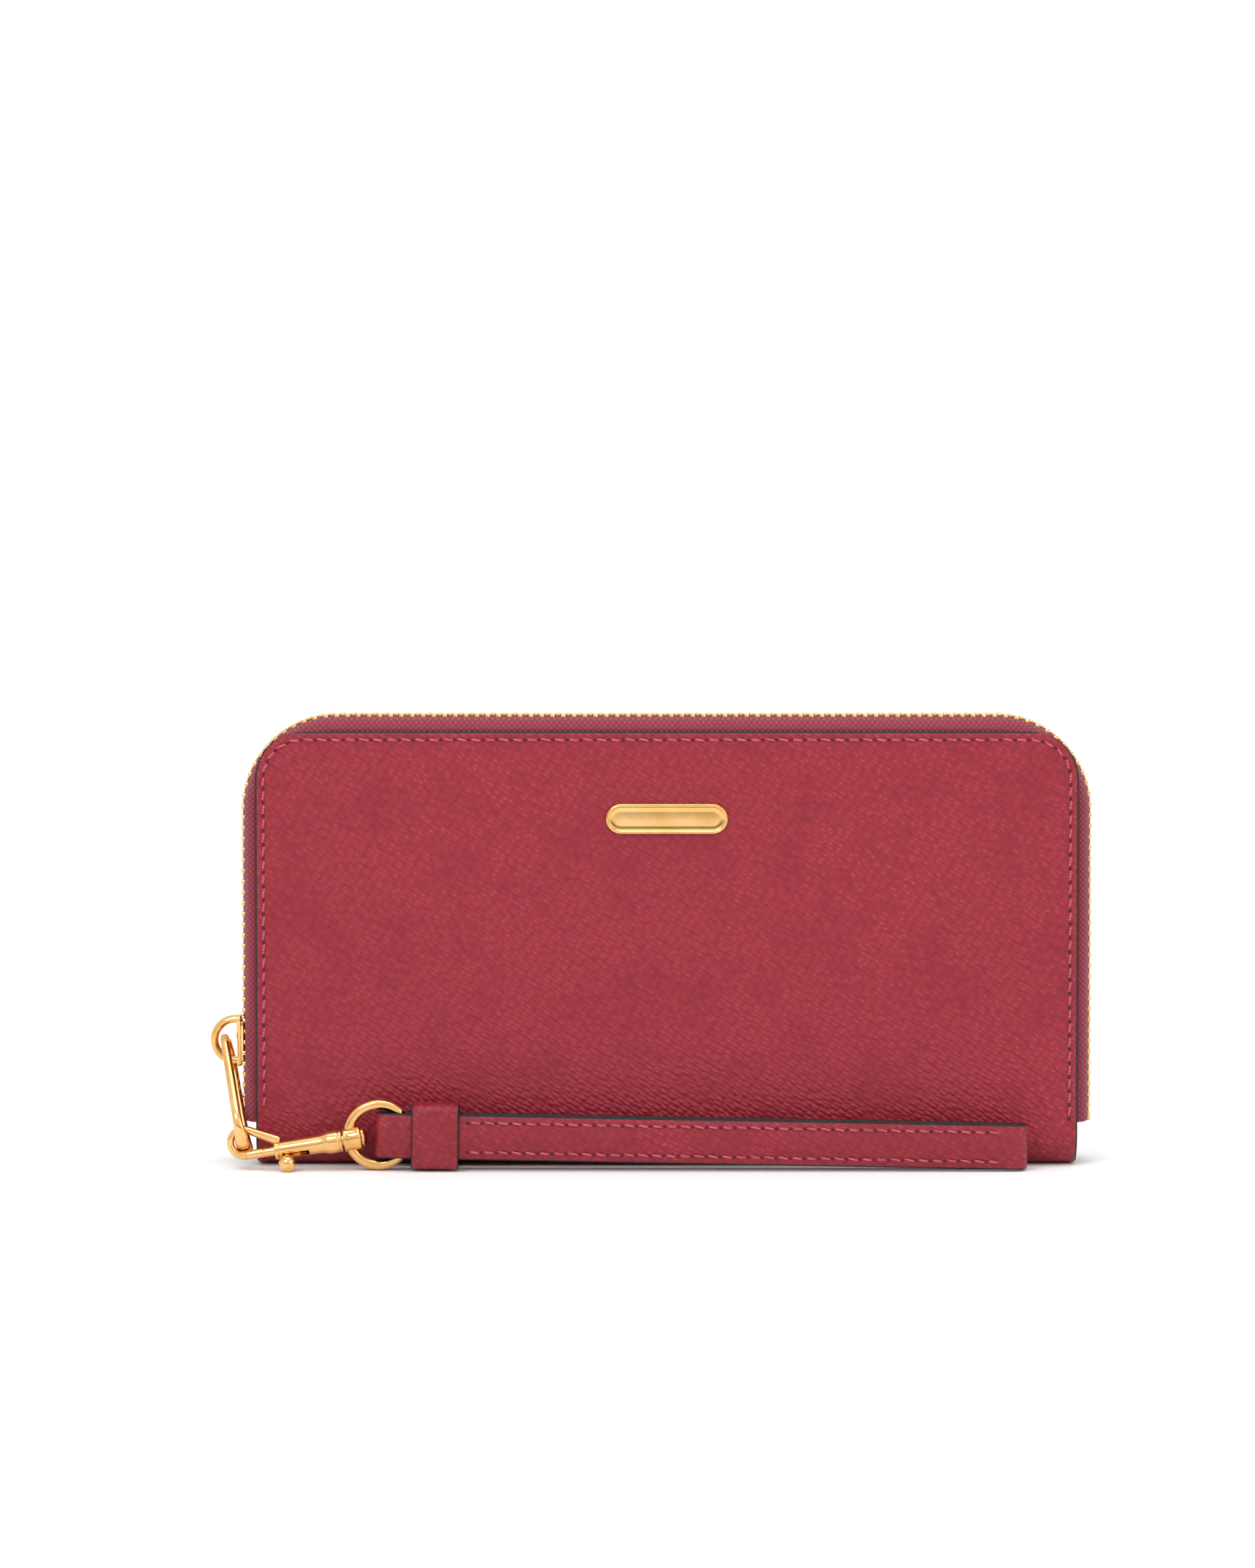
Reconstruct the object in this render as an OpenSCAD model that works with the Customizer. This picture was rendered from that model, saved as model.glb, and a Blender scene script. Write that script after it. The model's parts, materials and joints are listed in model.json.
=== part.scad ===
// Wristlet wallet: a zip-around leather wallet that stands on its folded spine, with a
// bolt-snap hook on the zip pull and a flat wrist strap laid on its edge in front of it.
// +X runs along the wallet, -Y is the front, +Z is up. The origin is the middle of the
// flat underside of the spine.

/* [Cover] */
// Width of the leather cover
cover_w = 188.5; // [150:0.5:230]
// Height of the closed wallet's leather
cover_h = 100; // [80:1:120]
// Thickness over both covers
wallet_t = 24; // [22:0.5:30]
// Thickness of the cover leather
leather_t = 1.8; // [1.2:0.1:2.4]
// Radius of the leather's top corners
corner_r = 11; // [6:0.5:16]
// Radius of the spine's bend
spine_r = 8; // [6:0.5:9]
// Height at which the back cover folds
fold_z = 9; // [9:0.5:14]
// Thickness of the lining
lining_t = 0.6; // [0.4:0.1:1]

/* [Main zip] */
// How far the teeth stand beyond the leather's edge
zip_bulge = 3.6; // [3:0.1:5]
// Radius of the zip's path at the top corners, over the teeth
zip_corner_r = 22; // [18:0.5:30]
// Thickness of the woven tape
tape_t = 0.6; // [0.4:0.1:0.8]
// Width of tape sewn under the leather
tape_under = 3.5; // [2.5:0.1:5]
// Spacing of the teeth along one row
tooth_pitch = 2.48; // [2:0.02:3]
// Length of one tooth along the zip
tooth_l = 1.1; // [0.8:0.05:1.4]
// Depth of a tooth, from inside to outside
tooth_d = 2.1; // [1.6:0.1:2.4]
// Distance from the middle of the zip to the tape's edge
tape_edge = 2.6; // [2.2:0.1:3.2]
// Gap between the two rows of teeth
row_gap = 0.6; // [0.5:0.05:0.9]
// Height at which the zip starts, above the floor
zip_start_z = 12; // [11:0.5:18]

/* [Stitching] */
// Spacing of the stitches
stitch_pitch = 3.2; // [2.5:0.1:4]
// Length of one stitch
stitch_l = 2.2; // [1.5:0.1:2.4]
// Distance of the seam from the leather's edge
stitch_inset = 1.9; // [1.5:0.1:3]
// Width of the thread
thread_w = 0.55; // [0.4:0.05:0.8]
// Height of the thread above the leather
thread_h = 0.2; // [0.1:0.05:0.3]

/* [Zip slider] */
// Length of the slider
slider_l = 12; // [10:0.5:14]
// Width of the slider
slider_w = 8.4; // [7.6:0.1:9.4]
// Thickness of the slider's outer and inner plates
slider_plate_t = 1.1; // [0.8:0.1:1.4]
// Height of the slider's lower end above the floor
slider_z = 22; // [20:0.5:28]
// Radius of the crown's ring
crown_r = 4.8; // [4.6:0.1:5]
// Radius of the crown's wire
crown_wire_r = 0.7; // [0.6:0.05:0.8]

/* [Pull link and hook] */
// Distance of the strap's middle in front of the front cover
wrist_gap = 6.5; // [6.5:0.5:8]
// Radius of the link's wire
link_wire_r = 0.8; // [0.7:0.05:0.85]
// Radius of the link's top bow
link_top_r = 4.8; // [4.6:0.1:5]
// Radius of the link's bottom bow
link_bottom_r = 5.6; // [5.4:0.1:6]
// Upward tilt of the hook's barrel
hook_tilt = 9; // [8:0.5:10]
// Radius of the hook's eye
eye_r = 3.0; // [3:0.05:3.2]
// Radius of the eye's wire
eye_wire_r = 0.85; // [0.7:0.05:0.9]
// Radius of the hook's barrel at its narrow end
barrel_r = 2.0; // [1.9:0.05:2.2]
// Radius of the barrel's flared end
barrel_flare_r = 2.65; // [2.5:0.05:2.8]
// Radius of the sliding bolt
bolt_r = 1.05; // [0.9:0.05:1.1]
// Running clearance round the bolt and the swivel pin
running_gap = 0.08; // [0.05:0.01:0.1]
// Travel of the bolt
bolt_travel = 4.5; // [3:0.5:5]
// Radius of the bolt's ball knob
knob_r = 1.9; // [1.6:0.1:2]

/* [Swivel ring] */
// Outer radius of the D-ring
ring_outer_r = 8.1; // [7.8:0.1:9]
// Radius of the D-ring's wire
ring_wire_r = 1.2; // [1:0.05:1.25]
// Half the height of the D-ring's straight bar
ring_bar_half = 4.8; // [4.4:0.1:5]
// Outer radius of the swivel collar
collar_r = 2.85; // [2.6:0.05:3]
// Radius of the swivel pin
pin_r = 1.3; // [1.1:0.05:1.5]

/* [Wrist strap] */
// Height of the strap, lying on its edge
strap_w = 10.3; // [9:0.1:12]
// Length of the folded strap, from the D-ring fold to the far fold
strap_l = 149; // [120:1:180]
// Thickness of the strap's outer leather
strap_face_t = 0.9; // [0.7:0.1:1.2]
// Thickness of the strap's lining leather
strap_lining_t = 0.6; // [0.4:0.1:0.8]
// Downward slope of the strap towards its far end
strap_tilt = 1.05; // [0.8:0.05:1.2]
// Width of the keeper band
keeper_w = 10.8; // [8:0.1:13]
// Height of the keeper band
keeper_h = 15; // [14:0.1:15.4]
// Thickness of the keeper band
keeper_t = 1.1; // [0.8:0.1:1.4]

/* [Emblem] */
// Length of the metal plate
emblem_w = 28; // [18:0.5:34]
// Height of the metal plate
emblem_h = 7; // [5:0.5:9]
// Distance of the plate's middle below the cover's top
emblem_below = 20; // [16:1:30]
// Thickness of the plate
emblem_t = 0.9; // [0.6:0.1:1.4]

/* [Inside] */
// Gap from each end of the cover to the card panels
card_side = 10.25; // [9.5:0.25:34]
// Distance of the card panels' top below the cover's top
card_below = 12; // [10:1:24]
// Thickness of a card panel's backing
card_panel_t = 0.5; // [0.3:0.1:0.8]
// Thickness of one card pocket
pocket_t = 0.4; // [0.3:0.05:0.5]
// Card pockets on each side
pocket_count = 3; // [2:1:3]
// Step from one card pocket's top to the next
pocket_step = 13; // [8:1:16]
// Gap from each end of the cover to the coin pocket
coin_side = 14.25; // [12.5:0.25:34]
// Thickness over the coin pocket
coin_t = 6.4; // [6.4:0.1:7]
// Distance of the coin pocket's top below the cover's top
coin_below = 16; // [16:1:30]
// Thickness of the coin pocket's lining
coin_wall = 0.8; // [0.5:0.1:0.8]
// Length of the coin zip's pull tab
coin_pull_l = 9; // [7:0.5:10]

/* [Hidden] */
$fn = 48;

leather_red = "#A3394A";
tape_red = "#AF3C50";
thread_red = "#C85064";
lining_red = "#8C2F3E";
gold = "#E6B46E";
brass_teeth = "#D9A95F";

half_w = cover_w/2;
half_t = wallet_t/2;
inner_y = half_t - leather_t;
lined_y = inner_y - lining_t;
wrist_y = half_t + wrist_gap;
emblem_z = cover_h - emblem_below;
card_w = cover_w - 2*card_side;
card_top_z = cover_h - card_below;
coin_l = cover_w - 2*coin_side;
coin_top_z = cover_h - coin_below;

// The zip's path, as offsets outwards from the leather's edge
tooth_out = zip_bulge;
tooth_in = zip_bulge - tooth_d;
tape_out = zip_bulge - 0.9;
corner_x = half_w + zip_bulge - zip_corner_r;
corner_z = cover_h + zip_bulge - zip_corner_r;
tooth_mid = (tooth_out + tooth_in)/2;
stop_h = 2;

// The slider, on the left side of the zip
slide_gap = 0.2;
plate_out = tooth_out + slide_gap;
plate_in = tooth_in - slide_gap;
crown_x = -(half_w + plate_out + slider_plate_t + 0.5);
crown_z = slider_z + slider_l/2;

// The hook's own frame: it starts at the D-ring's middle and runs along the barrel
ring_r = ring_outer_r - ring_wire_r;
ring_x = -half_w + 28.35;
ring_z = ring_outer_r + 0.05;
collar_from = -8;
collar_to = -4;
barrel_from = -24;
barrel_to = collar_from - 0.3;
flare_from = -12.8;
eye_u = -30.7;
arm_deg = 62.3;
arm_len = 7.6;
nose_gap = 0.1;
knob_u = -21.4;
bolt_end = -18.2;
knob_off = 2.9;
neck_r = 0.55;
slot_w = 2*neck_r + 0.5;
head_l = 1.5;
head_r = 2.3;

// The link hangs from the crown at one end and passes through the eye at the other
link_top = [crown_x - 2, 0, crown_z - 0.2];
link_bottom = [ring_x + eye_u*cos(hook_tilt) - eye_r*sin(hook_tilt), -wrist_y,
  ring_z + eye_u*sin(hook_tilt) + eye_r*cos(hook_tilt) - 0.6];
link_vec = link_bottom - link_top;
link_len = norm(link_vec);
link_lean = acos(-link_vec.z/link_len);
link_yaw = atan2(link_vec.x, -link_vec.y);

// The strap, from the middle of the D-ring
strap_from = -0.7;
strap_to = strap_from + strap_l;
strap_ply = strap_face_t + strap_lining_t;
strap_gap = 2*ring_wire_r + 0.2;
strap_t = strap_gap + 2*strap_ply;
tab_to = 7.3;
tab_gap = 0.1;
keeper_from = tab_to + 0.3;
keeper_side = strap_t/2 + keeper_t;

// Sizes that the linings, the emblem and the gussets share
lining_inset = tape_under + 0.2;
tooth_gap = 0.4;
web_t = 0.3;
web_l = 3.5;
crown_leg = 0.4;
post_r = 0.8;
rim_w = 0.8;

// Inside the wallet, measured from the middle outwards
card_y = lined_y - 0.9;
pocket_y = card_y - card_panel_t;
coin_half = coin_t/2;
inside_low = fold_z + 1;
pocket_half = card_w/4 - 1;
gusset_x = half_w - lining_inset - 0.5;
gusset_depth = gusset_x - card_w/2 - 1;
gusset_sheet = 0.5;
gusset_h = cover_h - 42;
gusset_near = coin_half + 0.4;
gusset_far = lined_y - 0.1;
gusset_mid = (gusset_near + gusset_far)/2;
coin_edge = 2;
coin_tape_edge = 1.6;
coin_tooth_h = 1.4;
coin_tooth_z = coin_top_z - (coin_tooth_h - tape_t)/2;
coin_slider_x = -60;
coin_slider_l = 7;
coin_slider_w = 4.4;
coin_plate = 0.6;
coin_ear = [2.4, 0.7, 2.2];
coin_ear_gap = 0.9;
coin_pin_r = 0.8;
coin_pull_w = 1.4;
coin_pull_t = 1;
coin_plate_top = coin_tooth_z + coin_tooth_h + slide_gap + coin_plate;

// ---- shared shapes ----

// A sheet between two depths, drawn as its front view
module slab(y_from, y_to) {
  translate([0, y_to, 0]) rotate([90, 0, 0]) linear_extrude(y_to - y_from) children();
}

// A front view with a flat bottom and round top corners
module arch2d(half, low, high, r) {
  translate([-half, low]) square([2*half, high - r - low]);
  translate([-(half - r), low]) square([2*(half - r), high - low]);
  for (s = [-1, 1]) translate([s*(half - r), high - r]) circle(r);
}

module cover2d() {
  arch2d(half_w, fold_z, cover_h, corner_r);
}

// The outline that lies at a distance out from the leather's edge, along the zip
module zip2d(out) {
  arch2d(half_w + out, fold_z, cover_h + out, zip_corner_r - zip_bulge + out);
}

// Sweeps a section (out, y) along the zip's path, from one side over the top to the other
module along_zip(from_z) {
  both_ends() {
    translate([half_w, 0, from_z]) linear_extrude(corner_z - from_z) children();
    translate([corner_x, 0, corner_z]) rotate([90, 0, 0])
      rotate_extrude(angle = 90, $fn = 96) translate([zip_corner_r - zip_bulge, 0])
        mirror([0, 1]) children();
  }
  translate([0, 0, cover_h]) rotate([0, -90, 0])
    linear_extrude(2*corner_x, center = true) children();
}

module both_ends() {
  children();
  mirror([1, 0, 0]) children();
}

// A point [x, z, angle] at a distance s along an arch: up one side, over the top, down
function arch_at(s, half, low, high, r) =
  let (side = high - r - low, arc = PI*r/2, flat = 2*(half - r),
    past = s - side - arc, last = past - flat)
  s < side ? [half, low + s, 0] :
  past < 0 ? let (a = 90*(s - side)/arc)
    [half - r + r*cos(a), high - r + r*sin(a), a] :
  last < 0 ? [half - r - past, high, 90] :
  last < arc ? let (a = 90 + 90*last/arc)
    [-(half - r) + r*cos(a), high - r + r*sin(a), a] :
  [-half, high - r - (last - arc), 180];

function arch_len(half, low, high, r) = 2*(high - r - low) + PI*r + 2*(half - r);

// Repeats a piece along an arch; its own X points outwards and its Z along the arch
module along_arch(pitch, shift, half, low, high, r) {
  count = floor(arch_len(half, low, high, r)/pitch - shift);
  for (i = [0:count - 1]) {
    p = arch_at((i + shift + 0.5)*pitch, half, low, high, r);
    translate([p.x, 0, p.y]) rotate([0, -p.z, 0]) children();
  }
}

// A bar's cross-section along X, drawn as (y, z)
module along_x(x_from, x_to) {
  translate([x_from, 0, 0]) rotate([90, 0, 90]) linear_extrude(x_to - x_from) children();
}

module at_back() {
  mirror([0, 1, 0]) children();
}

// A round wire bent in the XZ plane, over an angle measured from +X towards +Z
module wire_arc(r, wire_r, from, to) {
  rotate([90, 0, 0]) rotate([0, 0, from])
    rotate_extrude(angle = to - from, $fn = 96) translate([r, 0]) circle(wire_r);
}

// A round bar between two points in the XZ plane, given as [x, z]
module wire_bar(a, b, wire_r) {
  d = b - a;
  translate([a.x, 0, a.y]) rotate([0, atan2(d.x, d.y), 0]) cylinder(r = wire_r, h = norm(d));
}

// ---- covers and spine ----

module cover_sheet() {
  slab(-half_t, -inner_y) cover2d();
}

module front_cover() {
  color(leather_red) difference() {
    cover_sheet();
    emblem_post_places() cylinder(r = post_r + running_gap, h = 3*leather_t, center = true);
  }
}

module back_cover() {
  color(leather_red) at_back() cover_sheet();
}

// The spine's section (y, z), brought in from its outer surface
module spine2d(inset) {
  half = half_t - inset;
  r = spine_r - inset;
  translate([-half, inset + r]) square([2*half, fold_z - inset - r]);
  translate([-(half - r), inset]) square([2*(half - r), fold_z - inset]);
  for (s = [-1, 1]) translate([s*(half - r), inset + r]) circle(r);
}

module spine_layer(outer, inner, half) {
  along_x(-half, half) difference() {
    intersection() {
      spine2d(outer);
      translate([-half_t, 0]) square([2*half_t, fold_z]);
    }
    spine2d(inner);
    translate([-(half_t - inner), fold_z - 1]) square([2*(half_t - inner), 2]);
  }
}

module spine() {
  color(leather_red) spine_layer(0, leather_t, half_w);
}

module spine_lining() {
  color(lining_red) spine_layer(leather_t, leather_t + lining_t, half_w - lining_inset);
}

module lining_sheet() {
  slab(-inner_y, -lined_y) zip2d(-lining_inset);
}

module front_lining() {
  color(lining_red) lining_sheet();
}

module back_lining() {
  color(lining_red) at_back() lining_sheet();
}

// ---- main zip ----

// The tape's section (out, y): sewn flat under the leather, then curved up to the teeth
module tape2d() {
  steps = 10;
  deep = inner_y - tape_t;
  outer = [for (i = [0:steps]) let (a = 90*i/steps)
    [tape_out*sin(a), -tape_edge - (inner_y - tape_edge)*cos(a)]];
  inner = [for (i = [steps:-1:0]) let (a = 90*i/steps)
    [(tape_out - tape_t)*sin(a), -tape_edge - (deep - tape_edge)*cos(a)]];
  polygon(concat([[-tape_under, -inner_y]], outer, inner, [[-tape_under, -deep]]));
}

module zip_tape() {
  color(tape_red) along_zip(fold_z + 1) tape2d();
}

module zip_teeth(shift) {
  color(brass_teeth)
    along_arch(tooth_pitch, shift, half_w + tooth_mid, zip_start_z, cover_h + tooth_mid,
      zip_corner_r - zip_bulge + tooth_mid)
      translate([-tooth_d/2, -tape_edge, -tooth_l/2])
        cube([tooth_d, tape_edge - row_gap/2, tooth_l]);
}

module end_stops() {
  color(gold) both_ends()
    translate([half_w + tooth_in, -tape_edge, zip_start_z - stop_h - tooth_gap])
      cube([tooth_d, tape_edge - row_gap/2, stop_h]);
}

module front_zip_tape() zip_tape();
module back_zip_tape() at_back() zip_tape();
module front_zip_teeth() zip_teeth(0);
module back_zip_teeth() at_back() zip_teeth(0.5);
module front_end_stops() end_stops();
module back_end_stops() at_back() end_stops();

// ---- stitching on the covers ----

module cover_seam() {
  color(thread_red)
    along_arch(stitch_pitch, 0, half_w - stitch_inset, fold_z + 2, cover_h - stitch_inset,
      corner_r - stitch_inset)
      translate([-thread_w/2, -half_t - thread_h, -stitch_l/2])
        cube([thread_w, thread_h, stitch_l]);
}

module front_stitching() cover_seam();
module back_stitching() at_back() cover_seam();

// ---- emblem ----

module emblem_post_places() {
  for (s = [-1, 1]) translate([s*emblem_w/4, -half_t, emblem_z]) rotate([90, 0, 0]) children();
}

module pill2d(w, h) {
  square([w - h, h], center = true);
  for (s = [-1, 1]) translate([s*(w - h)/2, 0]) circle(h/2);
}

module emblem_plate() {
  color(gold) translate([0, -half_t, emblem_z]) rotate([90, 0, 0]) {
    linear_extrude(emblem_t*0.6) pill2d(emblem_w, emblem_h);
    linear_extrude(emblem_t) difference() {
      pill2d(emblem_w, emblem_h);
      pill2d(emblem_w - 2*rim_w, emblem_h - 2*rim_w);
    }
  }
}

module emblem_posts() {
  color(gold) emblem_post_places() translate([0, 0, -leather_t]) cylinder(r = post_r,
    h = leather_t);
}

// ---- inside of the two halves ----

module card_panel() {
  color(lining_red) slab(-card_y, -pocket_y)
    translate([-card_w/2, inside_low]) square([card_w, card_top_z - inside_low]);
}

// Pockets lie one in front of the other, each lower than the one behind it
module card_pockets() {
  color(leather_red) for (i = [0:pocket_count - 1]) {
    top = card_top_z - (i + 1)*pocket_step;
    for (s = [-1, 1])
      slab(-pocket_y + i*pocket_t, -pocket_y + (i + 1)*pocket_t)
        translate([s*card_w/4 - pocket_half, inside_low])
          square([2*pocket_half, top - inside_low]);
  }
}

module front_card_panel() card_panel();
module back_card_panel() at_back() card_panel();
module front_card_pockets() card_pockets();
module back_card_pockets() at_back() card_pockets();

// One pleat of a side gusset: two leaves that meet at a fold towards the middle
module gusset() {
  color(lining_red) translate([0, 0, inside_low]) linear_extrude(gusset_h) difference() {
    polygon([[gusset_x, -gusset_far], [gusset_x - gusset_depth, -gusset_mid],
      [gusset_x, -gusset_near]]);
    polygon([[gusset_x + 1, -gusset_far + gusset_sheet], [gusset_x - gusset_depth + 4*gusset_sheet,
      -gusset_mid], [gusset_x + 1, -gusset_near - gusset_sheet]]);
  }
}

module right_front_gusset() gusset();
module left_front_gusset() mirror([1, 0, 0]) gusset();
module right_back_gusset() at_back() gusset();
module left_back_gusset() at_back() mirror([1, 0, 0]) gusset();

// ---- coin pocket in the middle ----

module coin_sheet() {
  color(lining_red) slab(-coin_half, -coin_half + coin_wall)
    translate([-coin_l/2, inside_low]) square([coin_l, coin_top_z - inside_low]);
}

module coin_pocket_front() coin_sheet();
module coin_pocket_back() at_back() coin_sheet();

module coin_pocket_edge() {
  color(leather_red) slab(-coin_half + coin_wall, coin_half - coin_wall) difference() {
    translate([-coin_l/2, inside_low]) square([coin_l, coin_top_z - inside_low]);
    translate([-coin_l/2 + coin_edge, inside_low + coin_edge])
      square([coin_l - 2*coin_edge, coin_top_z]);
  }
}

module coin_zip_tape() {
  color(tape_red) for (s = [0, 1]) mirror([0, s, 0])
    translate([-coin_l/2, -coin_half, coin_top_z])
      cube([coin_l, coin_half - coin_tape_edge, tape_t]);
}

module coin_zip_teeth() {
  count = floor((coin_l - 8)/tooth_pitch);
  color(brass_teeth) for (i = [0:count - 1], s = [0, 1]) mirror([0, s, 0])
    translate([-coin_l/2 + 4 + (i + s/2)*tooth_pitch, -coin_tape_edge, coin_tooth_z])
      cube([tooth_l, coin_tape_edge - row_gap/2, coin_tooth_h]);
}

module coin_zip_slider() {
  color(gold) {
    for (z = [coin_tooth_z - slide_gap - coin_plate, coin_tooth_z + coin_tooth_h + slide_gap])
      translate([coin_slider_x, -coin_slider_w/2, z])
        cube([coin_slider_l, coin_slider_w, coin_plate]);
    translate([coin_slider_x, -web_t/2, coin_tooth_z - slide_gap - coin_plate/2])
      cube([2, web_t, coin_tooth_h + 2*slide_gap + coin_plate]);
    for (s = [0, 1]) mirror([0, s, 0]) translate([coin_slider_x + 2, coin_ear_gap, coin_plate_top])
      cube(coin_ear);
  }
}

// A flat tab with a round eye on a pin between the slider's two ears
module coin_zip_pull() {
  color(gold) translate([coin_slider_x + 2 + coin_ear.x/2, 0, coin_plate_top + coin_ear.z/2]) {
    rotate([90, 0, 0]) cylinder(r = coin_pin_r, h = coin_pull_w, center = true);
    translate([0, -coin_pull_w/2, -coin_pull_t/2]) cube([coin_pull_l, coin_pull_w, coin_pull_t]);
    translate([coin_pull_l, 0, -coin_pull_t/2]) cylinder(r = 2*coin_pin_r, h = coin_pull_t);
  }
}

// ---- main zip's slider ----

module slider2d() {
  polygon([[-slider_w/2, slider_l], [-slider_w/2, slider_l*0.42], [-slider_w*0.34, 0],
    [slider_w*0.34, 0], [slider_w/2, slider_l*0.42], [slider_w/2, slider_l]]);
}

module zip_slider() {
  outer_x = -(half_w + plate_out + slider_plate_t);
  color(gold) {
    for (x = [outer_x, -(half_w + plate_in)])
      translate([0, 0, slider_z]) along_x(x, x + slider_plate_t) slider2d();
    translate([-(half_w + plate_out + slider_plate_t/2), -web_t/2, slider_z])
      cube([plate_out - plate_in + slider_plate_t, web_t, web_l]);
    translate([crown_x, 0, crown_z]) wire_arc(crown_r, crown_wire_r, 90, 270);
    for (s = [-1, 1])
      wire_bar([crown_x, crown_z + s*crown_r], [outer_x + crown_leg, crown_z + s*crown_r],
        crown_wire_r);
  }
}

// ---- pull link ----

// A long loop of wire: two bows joined by straight legs that touch both
module pull_link() {
  span = link_len - link_top_r - link_bottom_r;
  splay = asin((link_bottom_r - link_top_r)/span);
  color(gold) translate(link_top) rotate([-link_lean, 0, link_yaw]) rotate([0, 0, 90]) {
    translate([0, 0, -link_top_r]) wire_arc(link_top_r, link_wire_r, splay, 180 - splay);
    translate([0, 0, link_bottom_r - link_len])
      wire_arc(link_bottom_r, link_wire_r, 180 - splay, 360 + splay);
    for (s = [-1, 1]) {
      high = [s*link_top_r*cos(splay), -link_top_r + link_top_r*sin(splay)];
      low = [s*link_bottom_r*cos(splay), link_bottom_r - link_len + link_bottom_r*sin(splay)];
      wire_bar(high, low, link_wire_r);
    }
  }
}

// ---- bolt-snap hook, in its own frame ----

module at_hook() {
  translate([ring_x, -wrist_y, ring_z]) rotate([0, -hook_tilt, 0]) children();
}

// Turns a shape drawn round Z so that it lies along the barrel
module along_barrel() {
  rotate([0, 90, 0]) children();
}

module barrel2d() {
  polygon([[bolt_r + running_gap, barrel_from], [barrel_r, barrel_from],
    [barrel_r + 0.15, flare_from], [barrel_flare_r, flare_from + 1.2],
    [barrel_flare_r, barrel_to], [pin_r - 0.2, barrel_to],
    [pin_r - 0.2, barrel_to - 0.6], [bolt_r + running_gap, barrel_to - 0.6]]);
}

// The slot that the knob's neck slides in, on the lower front of the barrel
module knob_slot() {
  rotate([-45, 0, 0]) translate([knob_u - slot_w/2, -slot_w/2, -2*barrel_flare_r])
    cube([bolt_travel + slot_w, slot_w, 2*barrel_flare_r]);
}

module hook_barrel() {
  color(gold) at_hook() difference() {
    along_barrel() rotate_extrude() barrel2d();
    knob_slot();
  }
}

// The eye's wire runs from its nose round to the neck
module hook_eye() {
  color(gold) at_hook() translate([eye_u, 0, eye_r]) wire_arc(eye_r, eye_wire_r, arm_deg, 270);
}

// The neck meets the eye face to face, and its other end is set into the barrel's wall
module hook_neck() {
  arm = [eye_u + eye_r*cos(arm_deg), eye_r + eye_r*sin(arm_deg)];
  color(gold) at_hook() wire_bar(arm, arm + arm_len*[sin(arm_deg), -cos(arm_deg)], eye_wire_r);
}

module swivel_pin() {
  color(gold) at_hook() along_barrel() {
    translate([0, 0, barrel_to]) cylinder(r = pin_r, h = collar_to - barrel_to + 0.05);
    translate([0, 0, collar_to + 0.05]) rotate_extrude() intersection() {
      translate([-head_r, 0]) circle(2*head_r);
      square([head_r, head_l]);
    }
  }
}

module hook_spring() {
  from = bolt_end + bolt_travel + 0.1;
  color("silver") at_hook() along_barrel() translate([0, 0, from]) difference() {
    cylinder(r = bolt_r, h = barrel_to - 0.7 - from);
    translate([0, 0, -1]) cylinder(r = bolt_r - 0.4, h = 10);
  }
}

module hook_bolt() {
  tip = eye_u + nose_gap;
  color(gold) at_hook() {
    along_barrel() translate([0, 0, tip]) cylinder(r = bolt_r, h = bolt_end - tip);
    rotate([-45, 0, 0]) translate([knob_u, 0, 0]) {
      translate([0, 0, -knob_off]) cylinder(r = neck_r, h = knob_off);
      translate([0, 0, -knob_off - 1.2]) sphere(knob_r);
    }
  }
}

// ---- D-ring with its swivel collar ----

module swivel_collar() {
  color(gold) at_hook() along_barrel() translate([0, 0, collar_from]) difference() {
    cylinder(r = collar_r, h = collar_to - collar_from);
    translate([0, 0, -1]) cylinder(r = pin_r + running_gap, h = 10);
  }
}

// The ring's two arms are set into the collar's wall
module swivel_ring() {
  end_deg = asin(ring_bar_half/ring_r);
  bar_x = ring_r*cos(end_deg);
  set_deg = asin((pin_r + collar_r)/2/ring_r) + 1.5;
  color(gold) translate([ring_x, -wrist_y, ring_z]) {
    wire_arc(ring_r, ring_wire_r, end_deg, 180 + hook_tilt - set_deg);
    wire_arc(ring_r, ring_wire_r, 180 + hook_tilt + set_deg, 360 - end_deg);
    wire_bar([bar_x, -ring_bar_half], [bar_x, ring_bar_half], ring_wire_r);
    for (s = [-1, 1]) translate([bar_x, 0, s*ring_bar_half]) sphere(1.04*ring_wire_r);
  }
}

// ---- wrist strap ----

// The strap's own frame: X runs along it from the middle of the D-ring
module at_strap() {
  translate([ring_x, -wrist_y, ring_z]) rotate([0, strap_tilt, 0]) children();
}

// The strap's plan: a loop with round ends, drawn at a distance in from its outer face
module loop2d(inset) {
  r = strap_t/2 - inset;
  translate([strap_from + strap_t/2, -r]) square([strap_l - strap_t, 2*r]);
  for (x = [strap_from + strap_t/2, strap_to - strap_t/2]) translate([x, 0]) circle(r);
}

module strap_layer(outer, inner, from, to) {
  at_strap() translate([0, 0, -strap_w/2]) linear_extrude(strap_w) intersection() {
    difference() {
      loop2d(outer);
      loop2d(inner);
    }
    translate([from, -strap_t]) square([to - from, 2*strap_t]);
  }
}

module strap_tab() {
  color(leather_red) strap_layer(0, strap_ply, strap_from - 1, tab_to);
}

module strap_face() {
  color(leather_red) strap_layer(0, strap_face_t, tab_to + tab_gap, strap_to + 1);
}

module strap_lining() {
  color(lining_red) strap_layer(strap_face_t, strap_ply, tab_to + tab_gap, strap_to + 1);
}

module strap_filler() {
  color(lining_red) at_strap() translate([keeper_from, -strap_gap/2, -strap_w/2])
    cube([keeper_w, strap_gap, strap_w]);
}

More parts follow.
